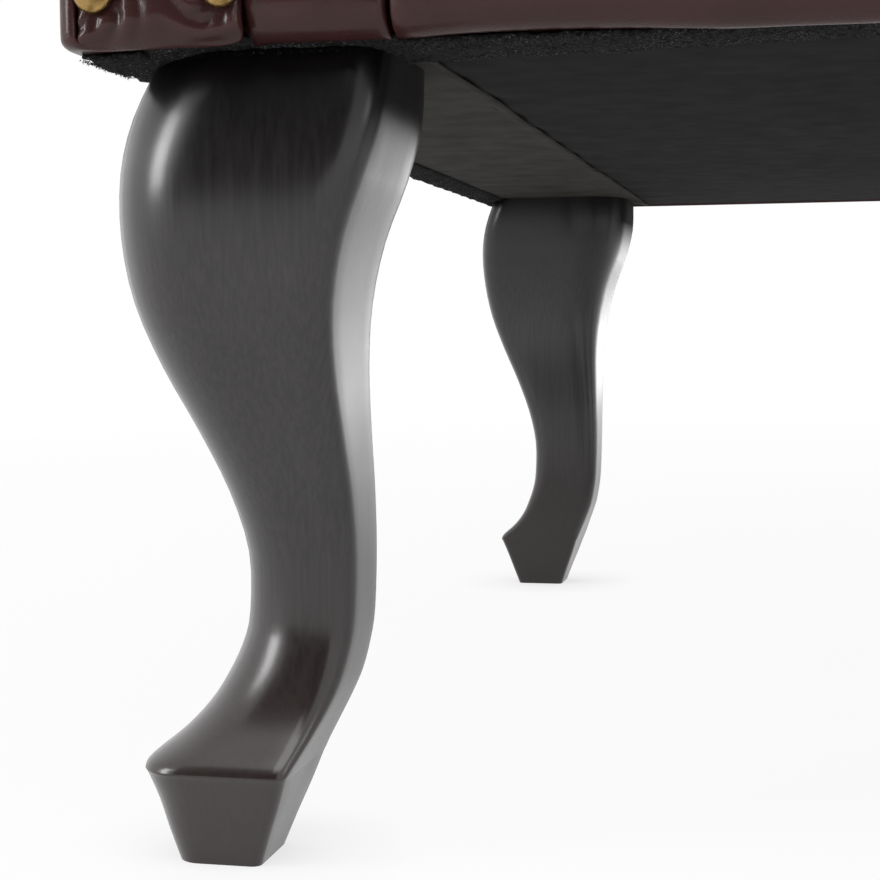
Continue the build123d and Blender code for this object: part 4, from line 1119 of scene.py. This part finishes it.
def inside_corner(spot, inset=0.0062):
    """A nail's place, drawn in to the line that runs round the back's rounded top corner."""
    start_x, start_z = box_half_width - outer_corner, outer_top_z - outer_corner
    off = Vector((abs(spot.x) - start_x, spot.z - start_z))
    if min(off) <= 0 or off.length <= outer_corner - inset:
        return spot
    off *= (outer_corner - inset) / off.length
    return Vector((math.copysign(start_x + off.x, spot.x), spot.y, start_z + off.y))


heads = []
for spot in map(inside_corner, node_islands("outside_back_nails")):
    out = Vector((0, 1, 0)) if spot.z < rake_start_z else Vector((0, math.cos(rake), -math.sin(rake)))
    heads += on_skin([spot], out, [outside_back])
nail_row("outside_back_nail_heads", heads, ["outside_back_nails"])


# The loose seat cushion: a boxed case of the same hide with corded seams round its top and
# bottom and a zip at the back, filled tight with foam. Its panels swell between the seams.

cushion_low_seam, cushion_high_seam, seam_hold = 0.3353, 0.4313, 0.0045
crown_cap, side_cap, rest_z, zip_half, zip_z = 0.013, 0.0028, 0.3274, 0.196, 0.3833

cushion = stuffed("seat_cushion", ["cushion_cover", "cushion_foam"], 0.0055, 2, oxblood)
start_points = [vertex.co.copy() for vertex in cushion.data.vertices]
hold = cushion.vertex_groups.new(name="seams")
for number, spot in enumerate(start_points):
    if min(abs(spot.z - cushion_low_seam), abs(spot.z - cushion_high_seam)) < seam_hold:
        hold.add([number], 1.0, "ADD")
cloth = cushion.modifiers.new("filling", "CLOTH")
cloth.settings.quality = 5
cloth.settings.mass = 0.4
cloth.settings.tension_stiffness = cloth.settings.compression_stiffness = 25
cloth.settings.bending_stiffness = 6
cloth.settings.use_pressure = True
cloth.settings.uniform_pressure_force = 4.0
cloth.settings.effector_weights.gravity = 0
cloth.settings.vertex_group_mass = "seams"
cloth.collision_settings.use_collision = False
for step in range(1, 21):
    bpy.context.scene.frame_set(step)
settled(cushion)
bpy.context.scene.frame_set(1)
cushion.vertex_groups.clear()


def cushion_settle(place, start):
    """Where a swollen point of the cushion may be: nowhere past its caps, its seams or what carries it."""
    shift = place - start
    spot = start + Vector((
        max(-side_cap, min(side_cap, shift.x)), max(-side_cap, min(side_cap, shift.y)),
        max(-0.004, min(crown_cap, shift.z)),
    ))
    if start.y > 0.080 and abs(start.x) < zip_half + 0.02 and abs(start.z - zip_z) < 0.03:
        spot.y = min(spot.y, start.y - 0.0004)
    wave = noise.noise(start * 17) * 0.0016 + noise.noise(start * 55) * 0.0005
    seam = min(abs(start.z - cushion_high_seam) / 0.02, 1) if start.z < 0.44 else 1.0
    spot.z += min(wave, 0.0006) * seam if start.z > 0.40 else 0
    spot.z = max(spot.z, rest_z)
    return spot


for vertex, start in zip(cushion.data.vertices, start_points):
    vertex.co = cushion_settle(vertex.co.copy(), start)
fine = cushion.modifiers.new("fine", "SUBSURF")
fine.levels = fine.render_levels = 1
belongs(cushion, "oxblood_leather", "cushion_cover", "cushion_foam", body="seat_cushion")


cushion_low, cushion_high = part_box("cushion_cover")
cushion_corner, cushion_draw = 0.046, 0.007


def seam_line(z):
    """The line of a corded seam: round corners, and sides that draw in between them."""
    half_x = (cushion_high.x - cushion_low.x) / 2
    half_y = (cushion_high.y - cushion_low.y) / 2
    middle = (cushion_low + cushion_high) / 2
    side_x, side_y = half_x - cushion_corner, half_y - cushion_corner
    line = []
    for x_turn, y_turn, first in ((1, -1, -90), (1, 1, 0), (-1, 1, 90), (-1, -1, 180)):
        for turn in spread(first, first + 90, 14):
            turn = math.radians(turn)
            x = x_turn * side_x + cushion_corner * math.cos(turn)
            y = y_turn * side_y + cushion_corner * math.sin(turn)
            line.append(Vector((middle.x + x, middle.y + y, z)))
        along_y = first in (-90, 90)
        for share in spread(-1, 1, 46)[1:-1]:
            draw = cushion_draw * (1 - share ** 2)
            if along_y:
                spot = Vector((x_turn * (half_x - draw), x_turn * side_y * share, z))
            else:
                spot = Vector((-y_turn * side_x * share, y_turn * (half_y - draw), z))
            line.append(Vector((middle.x, middle.y, 0)) + spot)
    return line


def corded(name, line, radius, sides, material, closed=True):
    """A round tube along a line of points, like leather sewn over cord."""
    points, count = [], len(line)
    for step, spot in enumerate(line):
        along = (line[(step + 1) % count] - line[step - 1]).normalized()
        across = along.cross(Vector((0, 0, 1))).normalized()
        high = across.cross(along)
        swell = radius * (1 + 0.05 * math.sin(step * 1.9) + 0.03 * math.sin(step * 0.37))
        for side in range(sides):
            turn = 2 * math.pi * side / sides
            points.append(spot + (across * math.cos(turn) + high * math.sin(turn)) * swell)
    faces = band_faces(count, sides)
    if closed:
        last = (count - 1) * sides
        faces += [(last + side, last + (side + 1) % sides, (side + 1) % sides, side) for side in range(sides)]
    return mesh_piece(name, points, faces, material)


welt_hide = leather("welt_hide", (0.021, 0.0057, 0.0054), (0.066, 0.025, 0.024), 0.33, 0.5)
for name, z in (("low", cushion_low_seam), ("high", cushion_high_seam)):
    welt = corded(f"cushion_welt_{name}", seam_line(z), 0.0032, 10, welt_hide)
    belongs(welt, "welt_leather", *(["cushion_welts"] if name == "low" else []), body="seat_cushion")


# The fabrics: plain woven cloths that close the chair's underside and carry its seat. All
# have the same weave, with threads and slubs of their own size and two shades of thread.


def weave_group():
    """Plain woven cloth: threads over and under each other, as a shade and a height."""
    group = bpy.data.node_groups.new("plain_weave", "ShaderNodeTree")
    for name, low in (("Threads", 700.0), ("Slubs", 60.0)):
        socket = group.interface.new_socket(name, in_out="INPUT", socket_type="NodeSocketFloat")
        socket.default_value = low
    for name in ("Height", "Shade"):
        group.interface.new_socket(name, in_out="OUTPUT", socket_type="NodeSocketFloat")
    sizes = group.nodes.new("NodeGroupInput").outputs
    results = group.nodes.new("NodeGroupOutput").inputs
    spot = place(group, "ShaderNodeTexCoord").outputs["Object"]
    axes = place(group, "ShaderNodeSeparateXYZ", {0: spot}).outputs
    depth = sums(group, "ADD", axes["Y"], axes["Z"])
    threads = []
    for along, across in ((axes["X"], depth), (depth, axes["X"])):
        over = sums(group, "SINE", sums(group, "MULTIPLY", along, sizes["Threads"]), 0.0)
        thread = sums(group, "SINE", sums(group, "MULTIPLY", across, sizes["Threads"]), 0.0)
        threads.append(sums(group, "MULTIPLY", over, thread))
    height = sums(group, "MAXIMUM", threads[0], sums(group, "MULTIPLY", threads[1], -1.0))
    slubs = place(group, "ShaderNodeTexNoise", {"Vector": spot, "Scale": sizes["Slubs"], "Detail": 6.0}).outputs[0]
    group.links.new(sums(group, "ADD", sums(group, "MULTIPLY", height, 0.5), slubs), results["Height"])
    group.links.new(ramp(group, slubs, [(0.30, 0.0), (0.72, 1.0)]), results["Shade"])
    return group


plain_weave = weave_group()


def cloth_finish(name, dark, light, threads, slubs, relief, roughness=0.92, sheen=0.0):
    """A matt cloth with its thread's two shades."""
    material, tree, output = bare_material(name)
    woven = place(tree, "ShaderNodeGroup", {"Threads": threads, "Slubs": slubs}, node_tree=plain_weave).outputs
    colour = blended(tree, woven["Shade"], dark, light)
    bump = place(tree, "ShaderNodeBump", {"Strength": relief, "Distance": 0.0005, "Height": woven["Height"]})
    rough = place(tree, "ShaderNodeMapRange", {0: woven["Shade"], 3: roughness, 4: roughness - 0.08}).outputs[0]
    shader = place(tree, "ShaderNodeBsdfPrincipled", {
        "Base Color": colour, "Roughness": rough, "Normal": bump.outputs[0],
        "Sheen Weight": sheen, "Specular IOR Level": 0.1,
    })
    tree.links.new(shader.outputs[0], output.inputs["Surface"])
    return material


# The dust cover and linings: a black cloth stapled under the seat from rail to rail, a strip of
# smooth grey-green lining under each arm whose inner edge is folded, and a strip of fuzzy black
# felt along the front and the sides that hides the turned-in edges of the hides.

cover_half, cover_front, cover_rear = 0.2470, -0.3480, 0.1985
lining_outer, lining_inner, lining_z = 0.3195, 0.2425, 0.2050

dust_cloth = cloth_finish("black_dust_cloth", (0.0125, 0.0125, 0.0125), (0.0165, 0.0165, 0.0165), 2600.0, 90.0, 0.06)
dust_grid = []
for x in spread(-cover_half, cover_half, 70):
    line = []
    for y in spread(cover_front, cover_rear, 74):
        along = (2 * y - cover_front - cover_rear) / (cover_rear - cover_front)
        off_x, off_y = 1 - (x / cover_half) ** 2, 1 - along ** 2
        sag = 0.0018 * max(off_x, 0) ** 0.5 * max(off_y, 0) ** 0.5
        wave = noise.noise(Vector((x * 9, y * 9, 31))) * 0.0009 * max(off_x * off_y, 0) ** 0.5
        staple = 0.0004 * math.cos(y * 150) * math.exp(-((cover_half - abs(x)) / 0.012) ** 2)
        line.append(Vector((x, y, 0.2047 - sag + wave + staple)))
    dust_grid.append(line)
dust_cover = skin("dust_cover_cloth", dust_grid, (0, 0, -1), dust_cloth, thickness=0.0006, refine=0)
belongs(dust_cover, "black_lining", "dust_cover")

grey_lining = cloth_finish("grey_green_lining", (0.040, 0.038, 0.034), (0.062, 0.059, 0.053), 2100.0, 75.0, 0.10)
for side, turned in (("left", -1), ("right", 1)):
    lining_grid = []
    for share in spread(0, 1, 30):
        line = []
        for y in spread(-0.3400, 0.1985, 90):
            x = lining_outer + (lining_inner - lining_outer) * share
            fold = 0.0011 * math.exp(-((1 - share) / 0.045) ** 2)
            wave = noise.noise(Vector((x * 22, y * 12, 44 + turned))) * 0.0009
            wave += noise.noise(Vector((x * 8, y * 40, 47))) * 0.0003
            x += 0.0012 * noise.noise(Vector((y * 14, 8, 0))) * share
            line.append(Vector((turned * x, y, lining_z - 0.0003 - fold - abs(wave) * math.sin(math.pi * share))))
        lining_grid.append(line)
    lining = skin(f"arm_lining_{side}", lining_grid, (0, 0, -1), grey_lining, thickness=0.0006, refine=0)
    belongs(lining, "black_lining", *(["arm_linings"] if side == "left" else []))

felt, tree, output = bare_material("black_fuzzy_felt")
spot = place(tree, "ShaderNodeTexCoord").outputs["Object"]
fluff = place(tree, "ShaderNodeTexNoise", {"Vector": spot, "Scale": 900.0, "Detail": 8.0, "Roughness": 0.75}).outputs[0]
specks = ramp(tree, fluff, [(0.42, 0.0), (0.66, 1.0)])
colour = blended(tree, specks, (0.0045, 0.0045, 0.0045), (0.050, 0.050, 0.052))
dust = place(tree, "ShaderNodeTexNoise", {"Vector": spot, "Scale": 1500.0, "Detail": 2.0}).outputs[0]
drifts = place(tree, "ShaderNodeTexNoise", {"Vector": spot, "Scale": 45.0, "Detail": 3.0}).outputs[0]
flecks, gathered = ramp(tree, dust, [(0.60, 0.0), (0.68, 1.0)]), ramp(tree, drifts, [(0.42, 0.15), (0.62, 1.0)])
lint = sums(tree, "MULTIPLY", flecks, gathered)
colour = blended(tree, lint, colour, (0.20, 0.20, 0.20))
bump = place(tree, "ShaderNodeBump", {"Strength": 1.0, "Distance": 0.0012, "Height": fluff}).outputs[0]
rough = place(tree, "ShaderNodeMapRange", {0: fluff, 3: 0.98, 4: 0.9}).outputs[0]
shader = place(tree, "ShaderNodeBsdfPrincipled", {
    "Base Color": colour, "Roughness": rough, "Normal": bump, "Specular IOR Level": 0.15,
})
tree.links.new(shader.outputs[0], output.inputs["Surface"])


def felt_strip(name, start, end, inner, across_count, along_count):
    """A strip of felt under the frame: its outer edge from start to end, inner the way to its inner edge."""
    grid = []
    for share in spread(0, 1, across_count):
        line = []
        for part in spread(0, 1, along_count):
            spot = start.lerp(end, part)
            narrow = 1.0 - 0.42 * math.exp(-(spot.x / 0.215) ** 6) if inner.y else 1.0
            spot = spot + inner * share * narrow
            beyond = 0.0022 / (1 + math.exp((seat_half_width - abs(spot.x)) / 0.0010))
            at_seam = 0.0030 * math.exp(-((abs(spot.x) + stem_inner_x) / 0.0040) ** 2)
            plug = max(beyond, at_seam) * (1 - share) ** 6 if inner.y else 0.0
            ragged = noise.noise(Vector((spot.x * 160, spot.y * 160, 3))) * 0.0009
            thick = 0.0008 * (1 - abs(2 * share - 1) ** 4) + 0.0002
            rough = noise.noise(spot * 420) * 0.0007 + noise.noise(spot * 130) * 0.0006
            spot = spot - inner.normalized() * ragged * (1 - share)
            line.append(Vector((spot.x, spot.y, 0.2044 - thick + rough + plug)))
        grid.append(line)
    return skin(name, grid, (0, 0, -1), felt, thickness=0.0012, refine=0)


felt_front_y, felt_depth, felt_side_x, felt_side_width = -0.3590, 0.0310, 0.3265, 0.016
front_start, front_end = Vector((-felt_side_x, felt_front_y, 0)), Vector((felt_side_x, felt_front_y, 0))
front_felt = felt_strip("front_felt", front_start, front_end, Vector((0, felt_depth, 0)), 14, 520)
belongs(front_felt, "black_felt", "front_hem")
for side, turned in (("left", -1), ("right", 1)):
    start = Vector((turned * felt_side_x, felt_front_y, 0))
    end = Vector((turned * felt_side_x, 0.2000, 0))
    inner = Vector((-turned * felt_side_width, 0, 0))
    belongs(felt_strip(f"side_felt_{side}", start, end, inner, 8, 420), "black_felt")


def loose_fibres(name, lines, count, length):
    """Short hairs of felt that stand out along its edges, each a thin bent sliver."""
    points, faces = [], []
    for number in range(count):
        start, end = lines[number % len(lines)]
        spot = start.lerp(end, (number * 0.61803) % 1)
        drift = noise.noise_vector(Vector((number * 1.37, 2.1, 5.3)))
        spot = spot + Vector((drift.x * 0.002, drift.y * 0.002 + 0.001, 0.2038 - 0.0006 * abs(drift.z)))
        way = noise.noise_vector(Vector((number * 3.11, 9.7, 1.3))) + Vector((0, -0.10, -0.34))
        way = way.normalized() * length * (0.5 + abs(drift.x) * 1.4)
        side = way.cross(Vector((0.3, 1, 0.2))).normalized() * 0.00011
        bend = way * 0.55 + Vector((drift.y, drift.z, 0)) * length * 0.3
        base = len(points)
        points += [spot - side, spot + side, spot + bend + side * 0.7, spot + bend - side * 0.7, spot + way]
        faces += [(base, base + 1, base + 2, base + 3), (base + 3, base + 2, base + 4)]
    return mesh_piece(name, points, faces, felt)


edges = [(front_start, front_end), (front_start, front_end)]
for turned in (-1, 1):
    corner = Vector((turned * felt_side_x, felt_front_y, 0))
    edges.append((corner, corner + Vector((0, 0.03, 0))))
belongs(loose_fibres("felt_fibres", edges, 1200, 0.0009), "black_felt")


# The padding behind the front hides: thin felted foam and the shaped facing boards, with their
# lower front edges eased off so that the hides can roll under them.

foam_finish, tree, output = bare_material("upholstery_foam")
spot = place(tree, "ShaderNodeTexCoord").outputs["Object"]
cells = place(tree, "ShaderNodeTexVoronoi", {"Vector": spot, "Scale": 900.0}, feature="F1").outputs["Distance"]
ageing = place(tree, "ShaderNodeTexNoise", {"Vector": spot, "Scale": 9.0, "Detail": 3.0}).outputs[0]
colour = blended(tree, ramp(tree, ageing, [(0.35, 0.0), (0.7, 1.0)]), (0.62, 0.54, 0.33), (0.52, 0.40, 0.19))
colour = blended(tree, ramp(tree, cells, [(0.25, 0.0), (0.6, 0.5)]), colour, (0.30, 0.24, 0.12))
bump = place(tree, "ShaderNodeBump", {"Strength": 0.7, "Distance": 0.0010, "Height": cells, "Filter Width": 0.1})
shader = place(tree, "ShaderNodeBsdfPrincipled", {"Base Color": colour, "Roughness": 0.95, "Normal": bump.outputs[0]})
tree.links.new(shader.outputs[0], output.inputs["Surface"])

beech, tree, output = bare_material("sawn_beech")
fibres = place(tree, "ShaderNodeGroup", {"Along": 9.0, "Across": 420.0}, node_tree=wood_fibres).outputs
colour = blended(tree, ramp(tree, fibres["Fibres"], [(0.3, 0.0), (0.7, 1.0)]), (0.42, 0.25, 0.12), (0.60, 0.42, 0.24))
colour = blended(tree, ramp(tree, fibres["Clouds"], [(0.4, 0.0), (0.8, 0.4)]), colour, (0.30, 0.17, 0.08))
rough = place(tree, "ShaderNodeMapRange", {0: fibres["Fibres"], 3: 0.72, 4: 0.58}).outputs[0]
bump = place(tree, "ShaderNodeBump", {"Strength": 0.35, "Distance": 0.0008, "Height": fibres["Fibres"]}).outputs[0]
shader = place(tree, "ShaderNodeBsdfPrincipled", {"Base Color": colour, "Roughness": rough, "Normal": bump})
tree.links.new(shader.outputs[0], output.inputs["Surface"])


def eased(name, node, material, slot, drop, between=(0.0, 1.0)):
    """A copy of a part behind the front hides, with its lower front edge and its ends drawn in to clear them."""
    piece = joined_nodes(name, [node])
    shape = bmesh.new()
    shape.from_mesh(piece.data)
    bmesh.ops.remove_doubles(shape, verts=shape.verts, dist=1e-5)
    for level in (facing_bottom + 0.0035, facing_bottom + 0.006, facing_bottom + hem_radius + drop):
        everything = shape.verts[:] + shape.edges[:] + shape.faces[:]
        bmesh.ops.bisect_plane(shape, geom=everything, plane_co=(0, 0, level), plane_no=(0, 0, 1))
    shape.to_mesh(piece.data)
    shape.free()
    centre_y, centre_z = front_y + hem_radius + drop, facing_bottom + hem_radius + drop

    def ease(spot, normal):
        """How a point is drawn in: to the ends' limits, up from the hem, and round its curve."""
        inward = Vector((math.copysign(min(max(abs(spot.x), between[0]), between[1]), spot.x) - spot.x, 0, 0))
        if spot.y > centre_y:
            return inward + Vector((0, 0, max(facing_bottom + drop - spot.z, 0)))
        inner = hem_radius
        z = min(spot.z, centre_z)
        reach = math.sqrt(max(inner ** 2 - (centre_z - z) ** 2, 0))
        back = max(centre_y - reach - spot.y, 0)
        return inward + Vector((0, back, max(facing_bottom + drop - spot.z, 0)))

    moved_points(piece, ease)
    piece.data.materials.clear()
    piece.data.materials.append(material)
    for face in piece.data.polygons:
        face.material_index = 0
    return belongs(piece, slot, node)


arm_padding = eased("arm_front_padding", "arm_front_pads", foam_finish, "foam", 0.0045, (0.2520, 0.2790))
border_padding = eased("border_padding", "front_border_pad", foam_finish, "foam", 0.0045, (0.0, 0.2430))
eased("facing_boards_eased", "facing_boards", beech, "frame_wood", 0.0045, (0.2880, 0.9))


# The seat under the cushion: cotton decking drawn tight over the pad, with a stitched edge.

deck_low, deck_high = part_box("deck_cover")
deck_cotton = cloth_finish("black_deck_cotton", (0.020, 0.019, 0.018), (0.040, 0.038, 0.036), 1500.0, 60.0, 0.3)
deck_grid = []
for x in spread(deck_low.x, deck_high.x, 60):
    line = []
    for y in spread(deck_low.y, deck_high.y, 60):
        wave = noise.noise(Vector((x * 12, y * 12, 71))) * 0.0006
        line.append(Vector((x, y, deck_high.z - 0.0005 + max(min(wave, 0.0004), -0.0004))))
    deck_grid.append(line)
deck = skin("deck_cloth", deck_grid, (0, 0, 1), deck_cotton, thickness=0.0008, refine=0)
belongs(deck, "deck_cloth", "deck_cover")


# The cushion's zip: brass-coloured teeth on a black tape, set into the rear boxing.

tape_half_height, tooth_pitch, tooth_size = 0.012, 0.0032, (0.0021, 0.0016, 0.0010)
side_x = (cushion_high.x - cushion_low.x) / 2 - cushion_corner
tape_half = 0.190


def tape_y(x, proud):
    """The rear boxing's face at this place across, and this far in front of it."""
    return cushion_high.y - cushion_draw * (1 - (x / side_x) ** 2) + proud


tape_finish = cloth_finish("black_zip_tape", (0.010, 0.010, 0.010), (0.030, 0.030, 0.030), 2200.0, 80.0, 0.4)
tape_grid = []
for x in spread(-tape_half, tape_half, 80):
    rise = (0.0004, 0.0007, 0.0007, 0.0011, 0.0011, 0.0007, 0.0007, 0.0004)
    heights = spread(-tape_half_height, tape_half_height, len(rise))
    tape_grid.append([Vector((x, tape_y(x, up), zip_z + z)) for up, z in zip(rise, heights)])
tape = skin("zip_tape", tape_grid, (0, 1, 0), tape_finish, thickness=0.0006, refine=0)
belongs(tape, "zip", "cushion_zip", body="seat_cushion")

points, faces = [], []
long, deep, high = tooth_size
for number in range(int(2 * (tape_half - 0.006) / tooth_pitch)):
    x = -tape_half + 0.006 + number * tooth_pitch
    z = zip_z + (0.0005 if number % 2 else -0.0005)
    base = len(points)
    for forward_step, shrink in ((0.0, 1.0), (0.7, 1.0), (1.0, 0.6)):
        for across, tall in ((-1, -1), (1, -1), (1, 1), (-1, 1)):
            spot = (x + across * long / 2 * shrink, tape_y(x, 0.0008 + deep * forward_step), z + tall * high * shrink)
            points.append(spot)
    for ring in range(2):
        for step in range(4):
            low, up_to = base + ring * 4, base + ring * 4 + 4
            faces.append((low + step, up_to + step, up_to + (step + 1) % 4, low + (step + 1) % 4))
    faces.append((base + 8, base + 11, base + 10, base + 9))
    faces.append((base, base + 1, base + 2, base + 3))
teeth = mesh_piece("zip_teeth", points, faces, nail_brass, smooth=False)
belongs(teeth, "zip", body="seat_cushion")


# What the hides cover: the beech frame, jute webbing and burlap, foam, and the steel that holds
# the legs. These keep the shapes of the frame that they were built with.

webbing_finish = cloth_finish("jute_webbing", (0.30, 0.21, 0.11), (0.47, 0.36, 0.21), 900.0, 45.0, 0.8)
burlap_finish = cloth_finish("burlap", (0.26, 0.18, 0.09), (0.42, 0.31, 0.17), 1100.0, 50.0, 0.9)

zinc, tree, output = bare_material("zinc_plated_steel")
spot = place(tree, "ShaderNodeTexCoord").outputs["Object"]
bloom = place(tree, "ShaderNodeTexNoise", {"Vector": spot, "Scale": 160.0, "Detail": 6.0}).outputs[0]
colour = blended(tree, ramp(tree, bloom, [(0.4, 0.0), (0.7, 1.0)]), (0.52, 0.53, 0.55), (0.36, 0.36, 0.36))
rough = place(tree, "ShaderNodeMapRange", {0: bloom, 3: 0.28, 4: 0.50}).outputs[0]
bump = place(tree, "ShaderNodeBump", {"Strength": 0.2, "Distance": 0.0002, "Height": bloom}).outputs[0]
shader = place(tree, "ShaderNodeBsdfPrincipled", {
    "Base Color": colour, "Roughness": rough, "Normal": bump, "Metallic": 1.0,
})
tree.links.new(shader.outputs[0], output.inputs["Surface"])

nylon, tree, output = bare_material("nylon_glide")
spot = place(tree, "ShaderNodeTexCoord").outputs["Object"]
scuffs = place(tree, "ShaderNodeTexNoise", {"Vector": spot, "Scale": 500.0, "Detail": 6.0}).outputs[0]
colour = blended(tree, ramp(tree, scuffs, [(0.4, 0.0), (0.7, 1.0)]), (0.016, 0.016, 0.016), (0.060, 0.058, 0.055))
rough = place(tree, "ShaderNodeMapRange", {0: scuffs, 3: 0.40, 4: 0.70}).outputs[0]
bump = place(tree, "ShaderNodeBump", {"Strength": 0.3, "Distance": 0.0003, "Height": scuffs}).outputs[0]
shader = place(tree, "ShaderNodeBsdfPrincipled", {"Base Color": colour, "Roughness": rough, "Normal": bump})
tree.links.new(shader.outputs[0], output.inputs["Surface"])

kept_finishes = (
    (beech, ("arm_inner_panels", "arm_posts", "arm_rails", "arm_tack_rails", "back_posts", "back_rail",
             "corner_blocks", "crest_rail", "front_rail", "rear_rail", "side_rails", "wing_frame_left",
             "wing_frame_right")),
    (foam_finish, ("deck_pad",)),
    (webbing_finish, ("seat_straps", "back_straps")),
    (burlap_finish, ("seat_burlap",)),
    (zinc, ("bolt_nuts", "hanger_bolts", "leg_plates")),
    (nylon, ("leg_glides",)),
)
for finish, names in kept_finishes:
    for name in names:
        for material_slot in chair_nodes[name].material_slots:
            material_slot.link = "OBJECT"
            material_slot.material = finish


bpy.context.view_layer.update()
